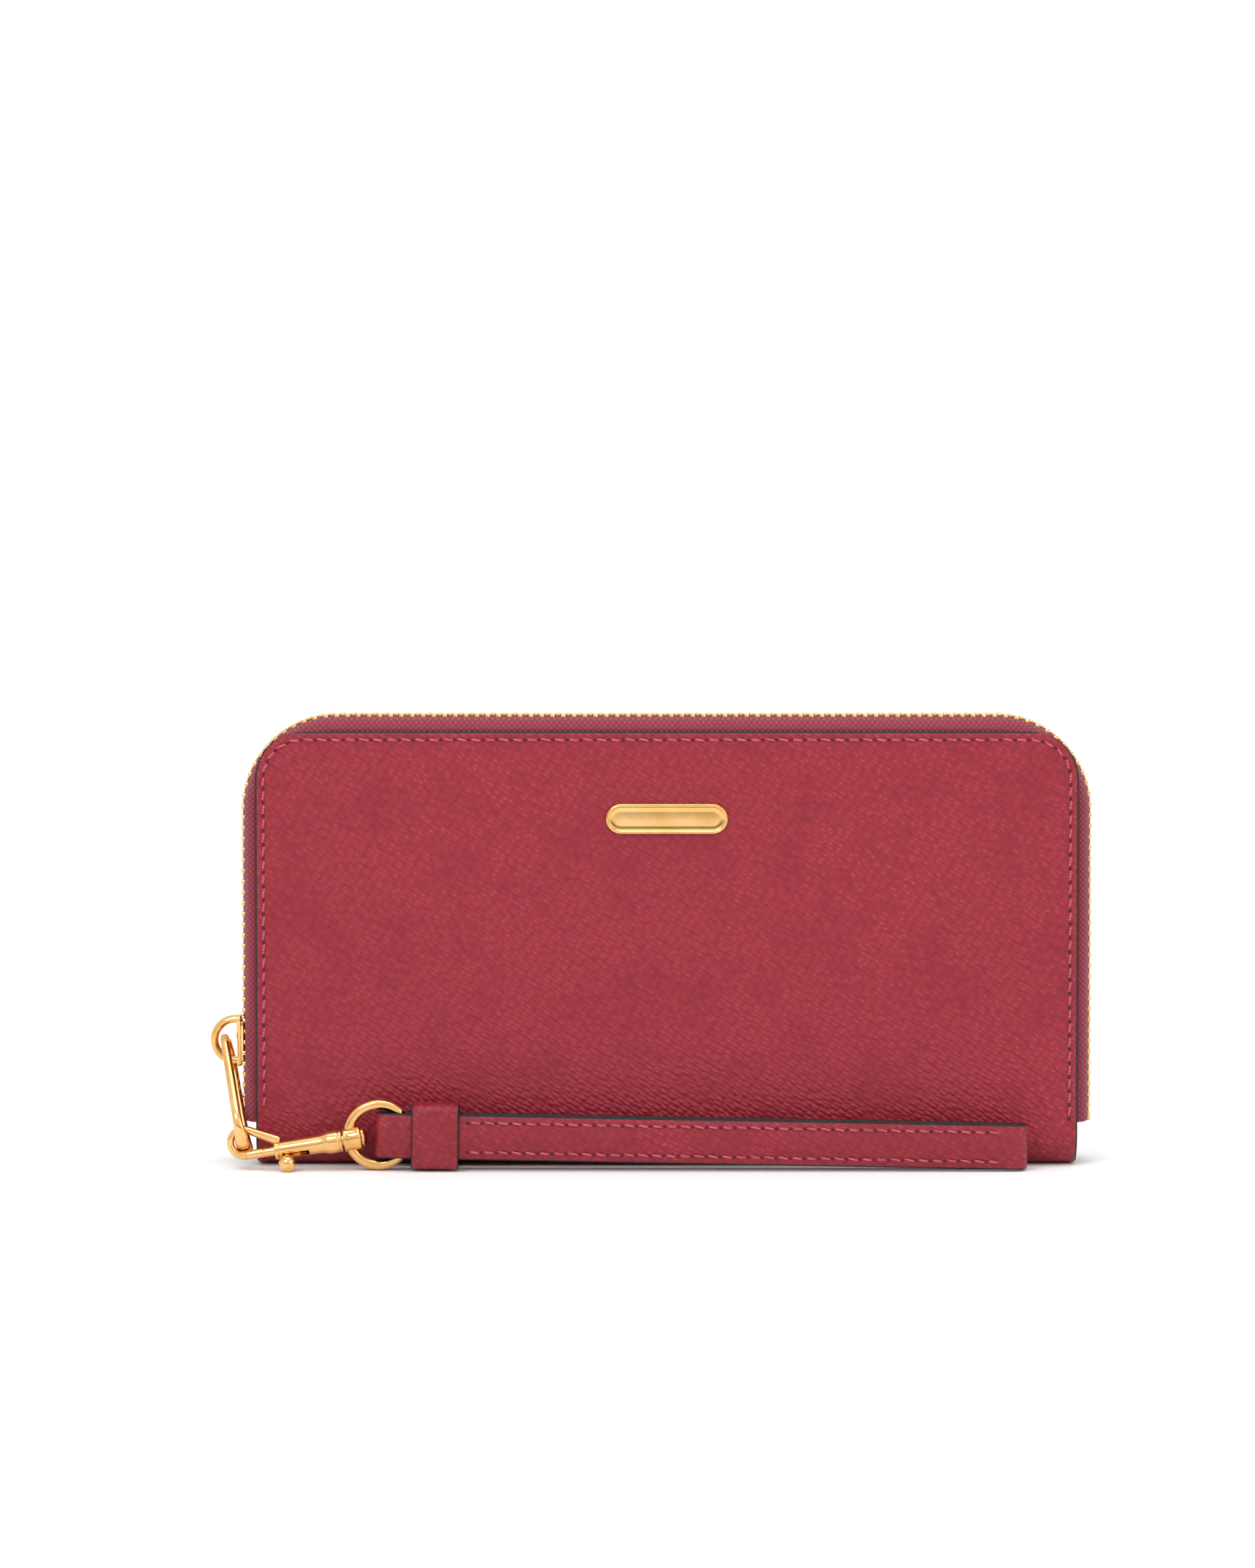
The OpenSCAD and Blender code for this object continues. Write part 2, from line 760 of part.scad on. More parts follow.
module keeper2d(side, half_h, r) {
  translate([-side, -(half_h - r)]) square([2*side, 2*(half_h - r)]);
  translate([-(side - r), -half_h]) square([2*(side - r), 2*half_h]);
  for (a = [-1, 1], b = [-1, 1]) translate([a*(side - r), b*(half_h - r)]) circle(r);
}

module strap_keeper() {
  color(leather_red) at_strap() along_x(keeper_from, keeper_from + keeper_w) difference() {
    keeper2d(keeper_side, keeper_h/2, 2);
    keeper2d(strap_t/2, keeper_h/2 - keeper_t, 1);
  }
}

module strap_stitching() {
  from = keeper_from + keeper_w + 1.5;
  count = floor((strap_to - 6 - from)/stitch_pitch);
  color(thread_red) at_strap() for (i = [0:count - 1], row = [-1, 1], side = [0, 1])
    mirror([0, side, 0])
      translate([from + i*stitch_pitch, -strap_t/2 - thread_h,
        row*(strap_w/2 - stitch_inset) - thread_w/2])
        cube([stitch_l, thread_h, thread_w]);
}

front_cover();
spine();
spine_lining();
front_lining();
front_zip_tape();
front_zip_teeth();
front_end_stops();
front_stitching();
emblem_plate();
emblem_posts();
front_card_panel();
front_card_pockets();
left_front_gusset();
right_front_gusset();
back_cover();
back_lining();
back_zip_tape();
back_zip_teeth();
back_end_stops();
back_stitching();
back_card_panel();
back_card_pockets();
left_back_gusset();
right_back_gusset();
coin_pocket_front();
coin_pocket_back();
coin_pocket_edge();
coin_zip_tape();
coin_zip_teeth();
coin_zip_slider();
coin_zip_pull();
zip_slider();
pull_link();
hook_barrel();
hook_eye();
hook_neck();
swivel_pin();
hook_spring();
hook_bolt();
swivel_ring();
swivel_collar();
strap_tab();
strap_face();
strap_lining();
strap_filler();
strap_keeper();
strap_stitching();
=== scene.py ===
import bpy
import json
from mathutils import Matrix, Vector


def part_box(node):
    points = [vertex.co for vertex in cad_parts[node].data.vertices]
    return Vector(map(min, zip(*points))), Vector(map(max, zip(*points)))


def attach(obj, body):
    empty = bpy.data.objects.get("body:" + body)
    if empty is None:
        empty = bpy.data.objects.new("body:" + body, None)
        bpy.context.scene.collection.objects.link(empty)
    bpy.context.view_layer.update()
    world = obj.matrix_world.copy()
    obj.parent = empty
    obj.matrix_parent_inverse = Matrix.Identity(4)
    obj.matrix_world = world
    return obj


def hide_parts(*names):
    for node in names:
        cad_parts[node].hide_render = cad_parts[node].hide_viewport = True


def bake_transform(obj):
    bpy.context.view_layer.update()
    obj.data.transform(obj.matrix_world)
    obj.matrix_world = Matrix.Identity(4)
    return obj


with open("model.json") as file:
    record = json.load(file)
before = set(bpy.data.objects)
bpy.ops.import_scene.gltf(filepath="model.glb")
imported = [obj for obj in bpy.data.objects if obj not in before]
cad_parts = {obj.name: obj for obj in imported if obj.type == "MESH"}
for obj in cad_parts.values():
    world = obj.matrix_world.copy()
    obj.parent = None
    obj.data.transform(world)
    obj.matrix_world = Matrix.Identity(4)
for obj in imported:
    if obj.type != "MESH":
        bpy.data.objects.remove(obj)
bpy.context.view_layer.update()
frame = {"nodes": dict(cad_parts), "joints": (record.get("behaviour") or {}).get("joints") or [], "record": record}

# The looks of the wristlet wallet: leather, zip, gold hardware and wrist strap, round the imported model.

import json
import math

import bmesh
import bpy
from mathutils import Matrix, Vector

MM = 0.001

# Boxes of CAD nodes, read from the frame, in metres
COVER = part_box("front_cover")
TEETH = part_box("front_zip_teeth")
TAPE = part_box("front_zip_tape")
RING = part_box("swivel_ring")
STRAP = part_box("strap_face")
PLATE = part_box("emblem_plate")
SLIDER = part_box("zip_slider")

# Sizes worked out from those boxes, and sizes no box gives. The numbers repeat part.scad's values or
# belong to the looks alone: when part.scad changes, they are changed here by hand.
HALF_W = COVER[1][0]
TOP = COVER[1][2]
HALF_T = -COVER[0][1]
LEATHER = COVER[1][1] - COVER[0][1]
FOLD_Z = COVER[0][2]
BULGE = TEETH[1][0] - HALF_W
CORNER_R = 11*MM
SPINE_R = 8*MM
STITCH_PITCH = 3.2*MM
STITCH_GAP = 0.9*MM
STITCH_INSET = 1.9*MM
ZIP_R = 22*MM
TAPE_T = 0.6*MM
TAPE_UNDER = 3.5*MM
TOOTH_D = 2.1*MM
TOOTH_PITCH = 2.48*MM
TAPE_EDGE = -TAPE[1][1]
ZIP_START = 12*MM
WRIST_Y = (RING[0][1] + RING[1][1])/2
SLIDER_PLATE = 1.1*MM
CROWN_R = 4.8*MM
LINK_TOP_R = 4.8*MM
LINK_LOW_R = 5.6*MM
HOOK_TILT = math.radians(9)
RING_WIRE = 1.2*MM
RING_BAR = 4.8*MM
RING_REACH = 6.205*MM
RING_R = (RING[1][2] - RING[0][2])/2 - RING_WIRE
RING_MID = Vector((RING[1][0] - RING_REACH, WRIST_Y, (RING[0][2] + RING[1][2])/2))
STRAP_TILT = math.radians(1.05)
STRAP_L = 149*MM
STRAP_W = 10.3*MM
STRAP_T = STRAP[1][1] - STRAP[0][1]
STRAP_FROM = -0.7*MM
PLY_T = 1.5*MM
STRAP_INSET = 1.8*MM
KEEPER_FROM, KEEPER_TO = 7.6*MM, 18.4*MM
KEEPER_T = 1.1*MM
KEEPER_H = 15*MM
GUSSET_INSET = 4.3*MM


def joint(name):
    return next(j for j in frame["joints"] if j["name"] == name)


# ---- small node helpers ----

def new_material(name):
    mat = bpy.data.materials.new(name)
    mat.use_nodes = True
    tree = mat.node_tree
    bsdf = tree.nodes["Principled BSDF"]
    return mat, tree, bsdf


def node(tree, kind, **values):
    made = tree.nodes.new(kind)
    for key, value in values.items():
        if hasattr(made, key):
            setattr(made, key, value)
        else:
            made.inputs[key].default_value = value
    return made


def coords(tree, scale=(1, 1, 1), turn=(0, 0, 0)):
    place = node(tree, "ShaderNodeTexCoord")
    spin = node(tree, "ShaderNodeMapping")
    spin.inputs["Rotation"].default_value = turn
    stretch = node(tree, "ShaderNodeMapping")
    stretch.inputs["Scale"].default_value = scale
    tree.links.new(place.outputs["Object"], spin.inputs["Vector"])
    tree.links.new(spin.outputs["Vector"], stretch.inputs["Vector"])
    return stretch.outputs["Vector"]


def noise(tree, where, scale, detail=3.0, rough=0.55):
    made = node(tree, "ShaderNodeTexNoise")
    made.inputs["Scale"].default_value = scale
    made.inputs["Detail"].default_value = detail
    made.inputs["Roughness"].default_value = rough
    tree.links.new(where, made.inputs["Vector"])
    return made.outputs["Fac"]


def maths(tree, kind, a, b=None, clamp=False):
    made = node(tree, "ShaderNodeMath")
    made.operation = kind
    made.use_clamp = clamp
    for slot_no, value in enumerate((a, b)):
        if value is None:
            continue
        if isinstance(value, (int, float)):
            made.inputs[slot_no].default_value = value
        else:
            tree.links.new(value, made.inputs[slot_no])
    return made.outputs[0]


def ramp(tree, fac, stops):
    made = node(tree, "ShaderNodeValToRGB")
    band = made.color_ramp
    while len(band.elements) < len(stops):
        band.elements.new(0.5)
    for element, (at, colour) in zip(band.elements, stops):
        element.position = at
        element.color = (*colour, 1)
    tree.links.new(fac, made.inputs["Fac"])
    return made.outputs["Color"]


def bump(tree, height, strength, distance, bsdf):
    made = node(tree, "ShaderNodeBump")
    made.inputs["Strength"].default_value = strength
    made.inputs["Distance"].default_value = distance
    tree.links.new(height, made.inputs["Height"])
    tree.links.new(made.outputs["Normal"], bsdf.inputs["Normal"])


# ---- materials ----

def leather_material(name, dark, mid, light, peak_highlight, grain=1.0):
    """Crossgrain leather: short embossed cells on a diagonal, fine pores and a soft cloud of colour, with a
    painted highlight on the cell peaks.
    """
    mat, tree, bsdf = new_material(name)
    flat = coords(tree)
    warp = node(tree, "ShaderNodeTexNoise")
    warp.inputs["Scale"].default_value = 90
    warp.inputs["Detail"].default_value = 1
    tree.links.new(flat, warp.inputs["Vector"])
    shift = node(tree, "ShaderNodeVectorMath", operation="SCALE")
    shift.inputs["Scale"].default_value = 0.0016
    tree.links.new(warp.outputs["Color"], shift.inputs[0])
    moved = node(tree, "ShaderNodeVectorMath", operation="ADD")
    tree.links.new(flat, moved.inputs[0])
    tree.links.new(shift.outputs[0], moved.inputs[1])
    turn = node(tree, "ShaderNodeMapping")
    turn.inputs["Rotation"].default_value = (0, math.radians(-32), 0)
    tree.links.new(moved.outputs[0], turn.inputs["Vector"])
    pull = node(tree, "ShaderNodeMapping")
    pull.inputs["Scale"].default_value = (520, 800, 980)
    tree.links.new(turn.outputs["Vector"], pull.inputs["Vector"])
    cells = node(tree, "ShaderNodeTexVoronoi", feature="SMOOTH_F1")
    cells.inputs["Scale"].default_value = 1.0
    cells.inputs["Smoothness"].default_value = 0.2
    cells.inputs["Randomness"].default_value = 0.5
    tree.links.new(pull.outputs["Vector"], cells.inputs["Vector"])
    domed = maths(tree, "SUBTRACT", 1.0, cells.outputs["Distance"])
    pores = noise(tree, flat, 2600, 2, 0.6)
    height = maths(tree, "ADD", domed, maths(tree, "MULTIPLY", pores, 0.12))
    bump(tree, height, 1.0*grain, 0.0004, bsdf)
    cloud = noise(tree, flat, 9, 2, 0.5)
    shade = maths(tree, "ADD", maths(tree, "MULTIPLY", cloud, 0.3), maths(tree, "MULTIPLY", domed, 0.7))
    # Colour follows the cells, lighter towards each dome's top; the last, pale stop is a painted highlight on the
    # peaks.
    tint = ramp(tree, shade, [(0.3, dark), (0.58, mid), (0.74, light), (0.85, peak_highlight)])
    tree.links.new(tint, bsdf.inputs["Base Color"])
    rough = maths(tree, "SUBTRACT", 0.62, maths(tree, "MULTIPLY", domed, 0.34))
    tree.links.new(rough, bsdf.inputs["Roughness"])
    bsdf.inputs["Specular IOR Level"].default_value = 0.36
    bsdf.inputs["Coat Weight"].default_value = 0.05
    bsdf.inputs["Coat Roughness"].default_value = 0.3
    return mat


def edge_material():
    """Painted leather edge: near black, slightly lumpy, with a rubbed sheen."""
    mat, tree, bsdf = new_material("edge_paint")
    flat = coords(tree)
    lumps = noise(tree, flat, 700, 3)
    tree.links.new(ramp(tree, lumps, [(0.3, (0.008, 0.008, 0.01)), (0.7, (0.024, 0.024, 0.028))]),
                   bsdf.inputs["Base Color"])
    bsdf.inputs["Specular IOR Level"].default_value = 0.25
    rough = maths(tree, "ADD", 0.4, maths(tree, "MULTIPLY", lumps, 0.25))
    tree.links.new(rough, bsdf.inputs["Roughness"])
    bump(tree, lumps, 0.25, 0.0001, bsdf)
    return mat


def weave_material(name, dark, light, pitch, strength=0.6):
    """Woven cloth: two crossed sets of threads, with loose fibres between them."""
    mat, tree, bsdf = new_material(name)
    flat = coords(tree)
    waves = []
    for angle in (45, -45):
        turn = node(tree, "ShaderNodeMapping")
        turn.inputs["Rotation"].default_value = (0, math.radians(angle), 0)
        tree.links.new(flat, turn.inputs["Vector"])
        wave = node(tree, "ShaderNodeTexWave", bands_direction="X")
        wave.inputs["Scale"].default_value = 0.31/pitch
        wave.inputs["Distortion"].default_value = 0.6
        wave.inputs["Detail"].default_value = 1.0
        tree.links.new(turn.outputs["Vector"], wave.inputs["Vector"])
        waves.append(wave.outputs["Fac"])
    woven = maths(tree, "MULTIPLY", waves[0], waves[1])
    fibres = noise(tree, flat, 3200, 2)
    height = maths(tree, "ADD", woven, maths(tree, "MULTIPLY", fibres, 0.4))
    bump(tree, height, strength, 0.00015, bsdf)
    shade = maths(tree, "ADD", maths(tree, "MULTIPLY", woven, 0.6), maths(tree, "MULTIPLY", fibres, 0.4))
    tree.links.new(ramp(tree, shade, [(0.1, dark), (0.7, light)]), bsdf.inputs["Base Color"])
    rough = maths(tree, "ADD", 0.6, maths(tree, "MULTIPLY", fibres, 0.25))
    tree.links.new(rough, bsdf.inputs["Roughness"])
    bsdf.inputs["Sheen Weight"].default_value = 0.05
    bsdf.inputs["Sheen Roughness"].default_value = 0.4
    return mat


def thread_material():
    """Twisted thread: fine slanted plies with a satin sheen."""
    mat, tree, bsdf = new_material("thread")
    flat = coords(tree, turn=(0, math.radians(30), 0))
    twist = node(tree, "ShaderNodeTexWave", bands_direction="DIAGONAL")
    twist.inputs["Scale"].default_value = 700
    tree.links.new(flat, twist.inputs["Vector"])
    tint = ramp(tree, twist.outputs["Fac"], [(0.1, (0.28, 0.02, 0.045)), (0.9, (0.58, 0.085, 0.135))])
    tree.links.new(tint, bsdf.inputs["Base Color"])
    rough = maths(tree, "ADD", 0.38, maths(tree, "MULTIPLY", twist.outputs["Fac"], 0.15))
    tree.links.new(rough, bsdf.inputs["Roughness"])
    bump(tree, twist.outputs["Fac"], 0.4, 0.00008, bsdf)
    bsdf.inputs["Sheen Weight"].default_value = 0.1
    return mat


def gold_material(name, warm, bright, low=0.07, high=0.2, scuffs=0.03):
    """Gold plate: polished metal with a soft variation of tone, fine scuffs and uneven gloss."""
    mat, tree, bsdf = new_material(name)
    flat = coords(tree)
    tone = noise(tree, flat, 130, 3)
    tree.links.new(ramp(tree, tone, [(0.3, warm), (0.7, bright)]), bsdf.inputs["Base Color"])
    bsdf.inputs["Metallic"].default_value = 1.0
    smear = noise(tree, flat, 420, 4)
    rough = maths(tree, "ADD", low, maths(tree, "MULTIPLY", smear, high - low))
    tree.links.new(rough, bsdf.inputs["Roughness"])
    bump(tree, noise(tree, flat, 1900, 2), scuffs, 0.00005, bsdf)
    return mat


def steel_material():
    mat, tree, bsdf = new_material("steel")
    flat = coords(tree)
    streaks = noise(tree, flat, 900, 3)
    tree.links.new(ramp(tree, streaks, [(0.3, (0.42, 0.42, 0.44)), (0.7, (0.62, 0.62, 0.64))]),
                   bsdf.inputs["Base Color"])
    bsdf.inputs["Metallic"].default_value = 1.0
    rough = maths(tree, "ADD", 0.25, maths(tree, "MULTIPLY", streaks, 0.2))
    tree.links.new(rough, bsdf.inputs["Roughness"])
    return mat


def hole_shade_material():
    """Painted shade of a needle hole: a dark red standing in for the shade inside the hole."""
    mat, tree, bsdf = new_material("needle_hole_shade")
    speckle = noise(tree, coords(tree), 900, 2)
    tint = ramp(tree, speckle, [(0.2, (0.06, 0.001, 0.005)), (0.8, (0.12, 0.003, 0.012))])
    tree.links.new(tint, bsdf.inputs["Base Color"])
    bsdf.inputs["Roughness"].default_value = 0.8
    return mat


# The last colour given to each leather is the painted highlight on its cell peaks.
LEATHER_RED = leather_material("crossgrain_leather", (0.21, 0.006, 0.016), (0.272, 0.011, 0.024),
                               (0.31, 0.016, 0.031), (0.46, 0.055, 0.08))
STRAP_RED = leather_material("strap_leather", (0.195, 0.006, 0.015), (0.255, 0.01, 0.023),
                             (0.295, 0.015, 0.03), (0.44, 0.05, 0.075), 0.8)
POCKET_RED = leather_material("pocket_leather", (0.14, 0.007, 0.016), (0.21, 0.013, 0.027),
                              (0.25, 0.02, 0.037), (0.3, 0.035, 0.055), 0.5)
EDGE = edge_material()
TAPE_RED = weave_material("zip_tape", (0.10, 0.003, 0.012), (0.36, 0.022, 0.052), 0.0009, 0.9)
LINING_RED = weave_material("lining_cloth", (0.12, 0.008, 0.02), (0.26, 0.025, 0.05), 0.0005, 0.4)
THREAD = thread_material()
HOLE_SHADE = hole_shade_material()
GOLD = gold_material("gold_plate", (0.72, 0.40, 0.13), (0.86, 0.53, 0.22))
ZIP_GOLD = gold_material("zip_metal", (0.70, 0.42, 0.15), (0.85, 0.56, 0.26), 0.14, 0.3, 0.05)
STEEL = steel_material()


# ---- mesh helpers ----

def circle(r, q):
    """The point (r cos q, r sin q) for an angle in degrees."""
    return r*math.cos(math.radians(q)), r*math.sin(math.radians(q))


def spokes(sides):
    """The cosine and sine of each of a number of equal turns."""
    return [(math.cos(2*math.pi*k/sides), math.sin(2*math.pi*k/sides)) for k in range(sides)]


def border(rows, across):
    """The numbers of the points round the edge of a grid, in order."""
    edge = list(range(across)) + [i*across + across - 1 for i in range(1, rows)]
    edge += [(rows - 1)*across + k for k in range(across - 2, -1, -1)]
    return edge + [i*across for i in range(rows - 2, 0, -1)]


def add_mesh(name, verts, faces, materials, indices=None, smooth=True):
    mesh = bpy.data.meshes.new(name)
    mesh.from_pydata([tuple(v) for v in verts], [], faces)
    for mat in materials:
        mesh.materials.append(mat)
    if indices is not None:
        mesh.polygons.foreach_set("material_index", indices)
    obj = bpy.data.objects.new(name, mesh)
    bpy.context.scene.collection.objects.link(obj)
    clean = bmesh.new()
    clean.from_mesh(mesh)
    bmesh.ops.recalc_face_normals(clean, faces=clean.faces)
    clean.to_mesh(mesh)
    clean.free()
    mesh.polygons.foreach_set("use_smooth", [smooth]*len(mesh.polygons))
    mesh.update()
    return obj


def apply_modifiers(obj):
    bpy.context.view_layer.update()
    graph = bpy.context.evaluated_depsgraph_get()
    mesh = bpy.data.meshes.new_from_object(obj.evaluated_get(graph))
    old = obj.data
    obj.modifiers.clear()
    obj.data = mesh
    bpy.data.meshes.remove(old)
    return obj


def bevel(obj, width, segments=3, angle=35):
    made = obj.modifiers.new("bevel", "BEVEL")
    made.width = width
    made.segments = segments
    made.limit_method = "ANGLE"
    made.angle_limit = math.radians(angle)
    made.harden_normals = False
    return apply_modifiers(obj)


def skin(rings, closed_along=False, closed_round=True, cap=True):
    """Faces over a list of equal rings of points."""
    verts = [p for ring in rings for p in ring]
    n = len(rings[0])
    faces = []
    last = len(rings) if closed_along else len(rings) - 1
    for i in range(last):
        j = (i + 1) % len(rings)
        for k in range(n if closed_round else n - 1):
            m = (k + 1) % n
            faces.append((i*n + k, i*n + m, j*n + m, j*n + k))
    if cap and not closed_along and closed_round:
        faces.append(tuple(range(n - 1, -1, -1)))
        faces.append(tuple((len(rings) - 1)*n + k for k in range(n)))
    return verts, faces


def tube(name, path, radius, mat, closed=False, sides=24, side=Vector((0, 1, 0))):
    """A round or oval wire along a path; radius is a number or a function of the share of the path gone by,
    and gives (across the side direction, along it)."""
    rings = []
    n = len(path)
    for i, p in enumerate(path):
        before = path[i - 1] if (closed or i > 0) else path[i]
        after = path[(i + 1) % n] if (closed or i < n - 1) else path[i]
        t = (after - before).normalized()
        b = (side - side.dot(t)*t).normalized()
        a = t.cross(b)
        r = radius(i/(n - 1)) if callable(radius) else radius
        ra, rb = r if isinstance(r, tuple) else (r, r)
        rings.append([p + a*ra*c + b*rb*d for c, d in spokes(sides)])
    verts, faces = skin(rings, closed_along=closed)
    return add_mesh(name, verts, faces, [mat])


def lathe(name, profile, mat, place, sides=64):
    """A turned piece: profile is (distance along, radius), and place carries +Z to its axis."""
    rings = []
    for along, r in profile:
        rings.append([place @ Vector((r*c, r*d, along)) for c, d in spokes(sides)])
    verts, faces = skin(rings)
    return add_mesh(name, verts, faces, [mat])


def rounded(profile, r=0.00025, steps=4):
    """Rounds the corners of an open profile."""
    out = [profile[0]]
    for a, b, c in zip(profile, profile[1:], profile[2:]):
        a, b, c = Vector(a), Vector(b), Vector(c)
        near = min(r, (a - b).length*0.45, (c - b).length*0.45)
        p = b + (a - b).normalized()*near
        q = b + (c - b).normalized()*near
        for k in range(steps + 1):
            t = k/steps
            out.append(tuple(p*(1 - t)**2 + b*2*t*(1 - t) + q*t*t))
    out.append(profile[-1])
    return out


def join(name, objs):
    """Joins pieces into one, keeping each one's materials."""
    bpy.context.view_layer.update()
    with bpy.context.temp_override(active_object=objs[0], selected_editable_objects=objs):
        bpy.ops.object.join()
    objs[0].name = name
    return objs[0]


def arch_at(s, half, low, high, r):
    """A point (x, z, angle) a distance along the arch: up the right side, over and down the left."""
    side, arc, flat = high - r - low, math.pi*r/2, 2*(half - r)
    if s < side:
        return half, low + s, 0.0
    s -= side
    if s < arc:
        a = s/r
        return half - r + r*math.cos(a), high - r + r*math.sin(a), a
    s -= arc
    if s < flat:
        return half - r - s, high, math.pi/2
    s -= flat
    if s < arc:
        a = math.pi/2 + s/r
        return -(half - r) + r*math.cos(a), high - r + r*math.sin(a), a
    return -half, high - r - (s - arc), math.pi


def arch_len(half, low, high, r):
    return 2*(high - r - low) + math.pi*r + 2*(half - r)


def on_arch(p):
    """Carries local axes (outwards, depth, along) to a point of an arch."""
    x, z, a = p
    turn = Matrix(((math.cos(a), 0, -math.sin(a)), (0, 1, 0), (math.sin(a), 0, math.cos(a)))).to_4x4()
    return Matrix.Translation((x, 0, z)) @ turn


def repeat(name, unit, places, mat):
    """Many copies of a small mesh (verts, faces) as one piece."""
    verts, faces = [], []
    for place in places:
        base = len(verts)
        verts.extend(place @ v for v in unit[0])
        faces.extend(tuple(base + i for i in f) for f in unit[1])
    return add_mesh(name, verts, faces, [mat])


def capsule(length, width, height, sides=10, steps=5, lean=0.0):
    """One stitch: a thread that dips into the leather at both ends. X is across, -Y is out, Z is along."""
    rings = []
    count = 2*steps + 1
    for i in range(count):
        t = -1 + 2*i/(count - 1)
        fat = max(0.18, (1 - abs(t)**4))**0.5
        lift = height*(1 - abs(t)**3)
        rings.append([Vector((width/2*fat*c + lean*t*width, -lift + height*0.75*fat*d, t*length/2))
                      for c, d in spokes(sides)])
    return skin(rings)


def dimple(r, depth=0.00006, sides=10):
    """A needle hole: a small disc that sits just on the leather and carries the hole's painted shade."""
    verts = [Vector((0, -depth*0.8, 0))]
    verts += [Vector((r*c, -depth, r*1.2*d)) for c, d in spokes(sides)]
    verts += [Vector((1.1*r*c, depth, 1.3*r*d)) for c, d in spokes(sides)]
    faces = []
    for k in range(sides):
        m = (k + 1) % sides
        faces.append((0, 1 + k, 1 + m))
        faces.append((1 + k, 1 + sides + k, 1 + sides + m, 1 + m))
    faces.append(tuple(1 + sides + k for k in range(sides - 1, -1, -1)))
    return verts, faces


# ---- covers ----

def cover_row(s):
    """Half the width of the leather at a distance s down from its top edge."""
    if s >= CORNER_R:
        return HALF_W
    return HALF_W - CORNER_R + math.sqrt(max(0.0, CORNER_R**2 - (CORNER_R - s)**2))


def wrap_point(s, inset):
    """A point (y, z) at a distance s down the front, round the spine's bend and along to its middle."""
    r = SPINE_R - inset
    straight = TOP - SPINE_R
    if s < straight:
        return -(HALF_T - inset), TOP - s
    s -= straight
    bend = math.pi/2*SPINE_R
    if s < bend:
        a = s/SPINE_R
        return -(HALF_T - SPINE_R) - r*math.cos(a), SPINE_R - r*math.sin(a)
    s -= bend
    return -(HALF_T - SPINE_R) + s, inset


def cover_shell(name, back):
    """One half of the outer leather, from its top edge to the middle of the underside. The outside is
    lightly padded: it falls away to the painted edge all round."""
    total = TOP - SPINE_R + math.pi/2*SPINE_R + (HALF_T - SPINE_R)
    rows = [0.0, 0.4*MM, 0.75*MM] + [CORNER_R*(1 - math.cos(math.radians(q))) for q in range(22, 91, 4)]
    s = rows[-1]
    straight_end = TOP - SPINE_R - 1*MM
    steps = 26
    rows += [s + (straight_end - s)*k/steps for k in range(1, steps + 1)]
    rows += [straight_end + (total - straight_end)*k/22 for k in range(1, 23)]
    spread = [-1, -0.9955, -0.991, -0.982, -0.965, -0.94] + [-0.9 + 1.8*k/36 for k in range(37)]
    spread += [0.94, 0.965, 0.982, 0.991, 0.9955, 1]
    sign = -1 if back else 1
    edge_round = 0.45*MM

    def layer(inset, inner):
        points = []
        for row in rows:
            half = cover_row(row)
            for t in spread:
                x = half*t
                in_from_edge = min(half - abs(x), row)
                drop = 0.0
                if not inner and in_from_edge < 1.4*MM:
                    u = 1 - in_from_edge/(1.4*MM)
                    drop = edge_round*(1 - math.sqrt(max(0.0, 1 - u**2)))
                elif inner and in_from_edge < 0.8*MM:
                    u = 1 - in_from_edge/(0.8*MM)
                    drop = -0.25*MM*(1 - math.sqrt(max(0.0, 1 - u**2)))
                y, z = wrap_point(row, inset + drop)
                points.append(Vector((x, sign*y, z)))
        return points

    outer, inner = layer(0.0, False), layer(LEATHER, True)
    n, m = len(spread), len(rows)
    verts = outer + inner
    faces, ids = [], []
    for i in range(m - 1):
        for k in range(n - 1):
            a = i*n + k
            faces.append((a, a + 1, a + n + 1, a + n))
            ids.append(1 if k < 1 or k > n - 3 or i < 1 else 0)
            b = n*m + a
            faces.append((b, b + n, b + n + 1, b + 1))
            ids.append(2)
    edge = border(m, n)
    for a, b in zip(edge, edge[1:] + edge[:1]):
        faces.append((a, b, n*m + b, n*m + a))
        ids.append(1)
    obj = add_mesh(name, verts, faces, [LEATHER_RED, EDGE, LINING_RED], ids)
    edges_sharp(obj)
    return obj


def edges_sharp(obj, angle=50):
    """Marks the edges between differently facing sides as sharp, so that smooth shading stops there."""
    work = bmesh.new()
    work.from_mesh(obj.data)
    bmesh.ops.remove_doubles(work, verts=work.verts, dist=1e-7)
    bmesh.ops.dissolve_degenerate(work, edges=work.edges, dist=1e-7)
    bmesh.ops.recalc_face_normals(work, faces=work.faces)
    for e in work.edges:
        if len(e.link_faces) == 2:
            e.smooth = e.calc_face_angle(0) < math.radians(angle)
    work.to_mesh(obj.data)
    work.free()


front = cover_shell("front_leather", False)
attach(front, "front_half")
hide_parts("front_cover", "spine")

back = cover_shell("back_leather", True)
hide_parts("back_cover")
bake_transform(back)


# ---- stitching on the covers ----

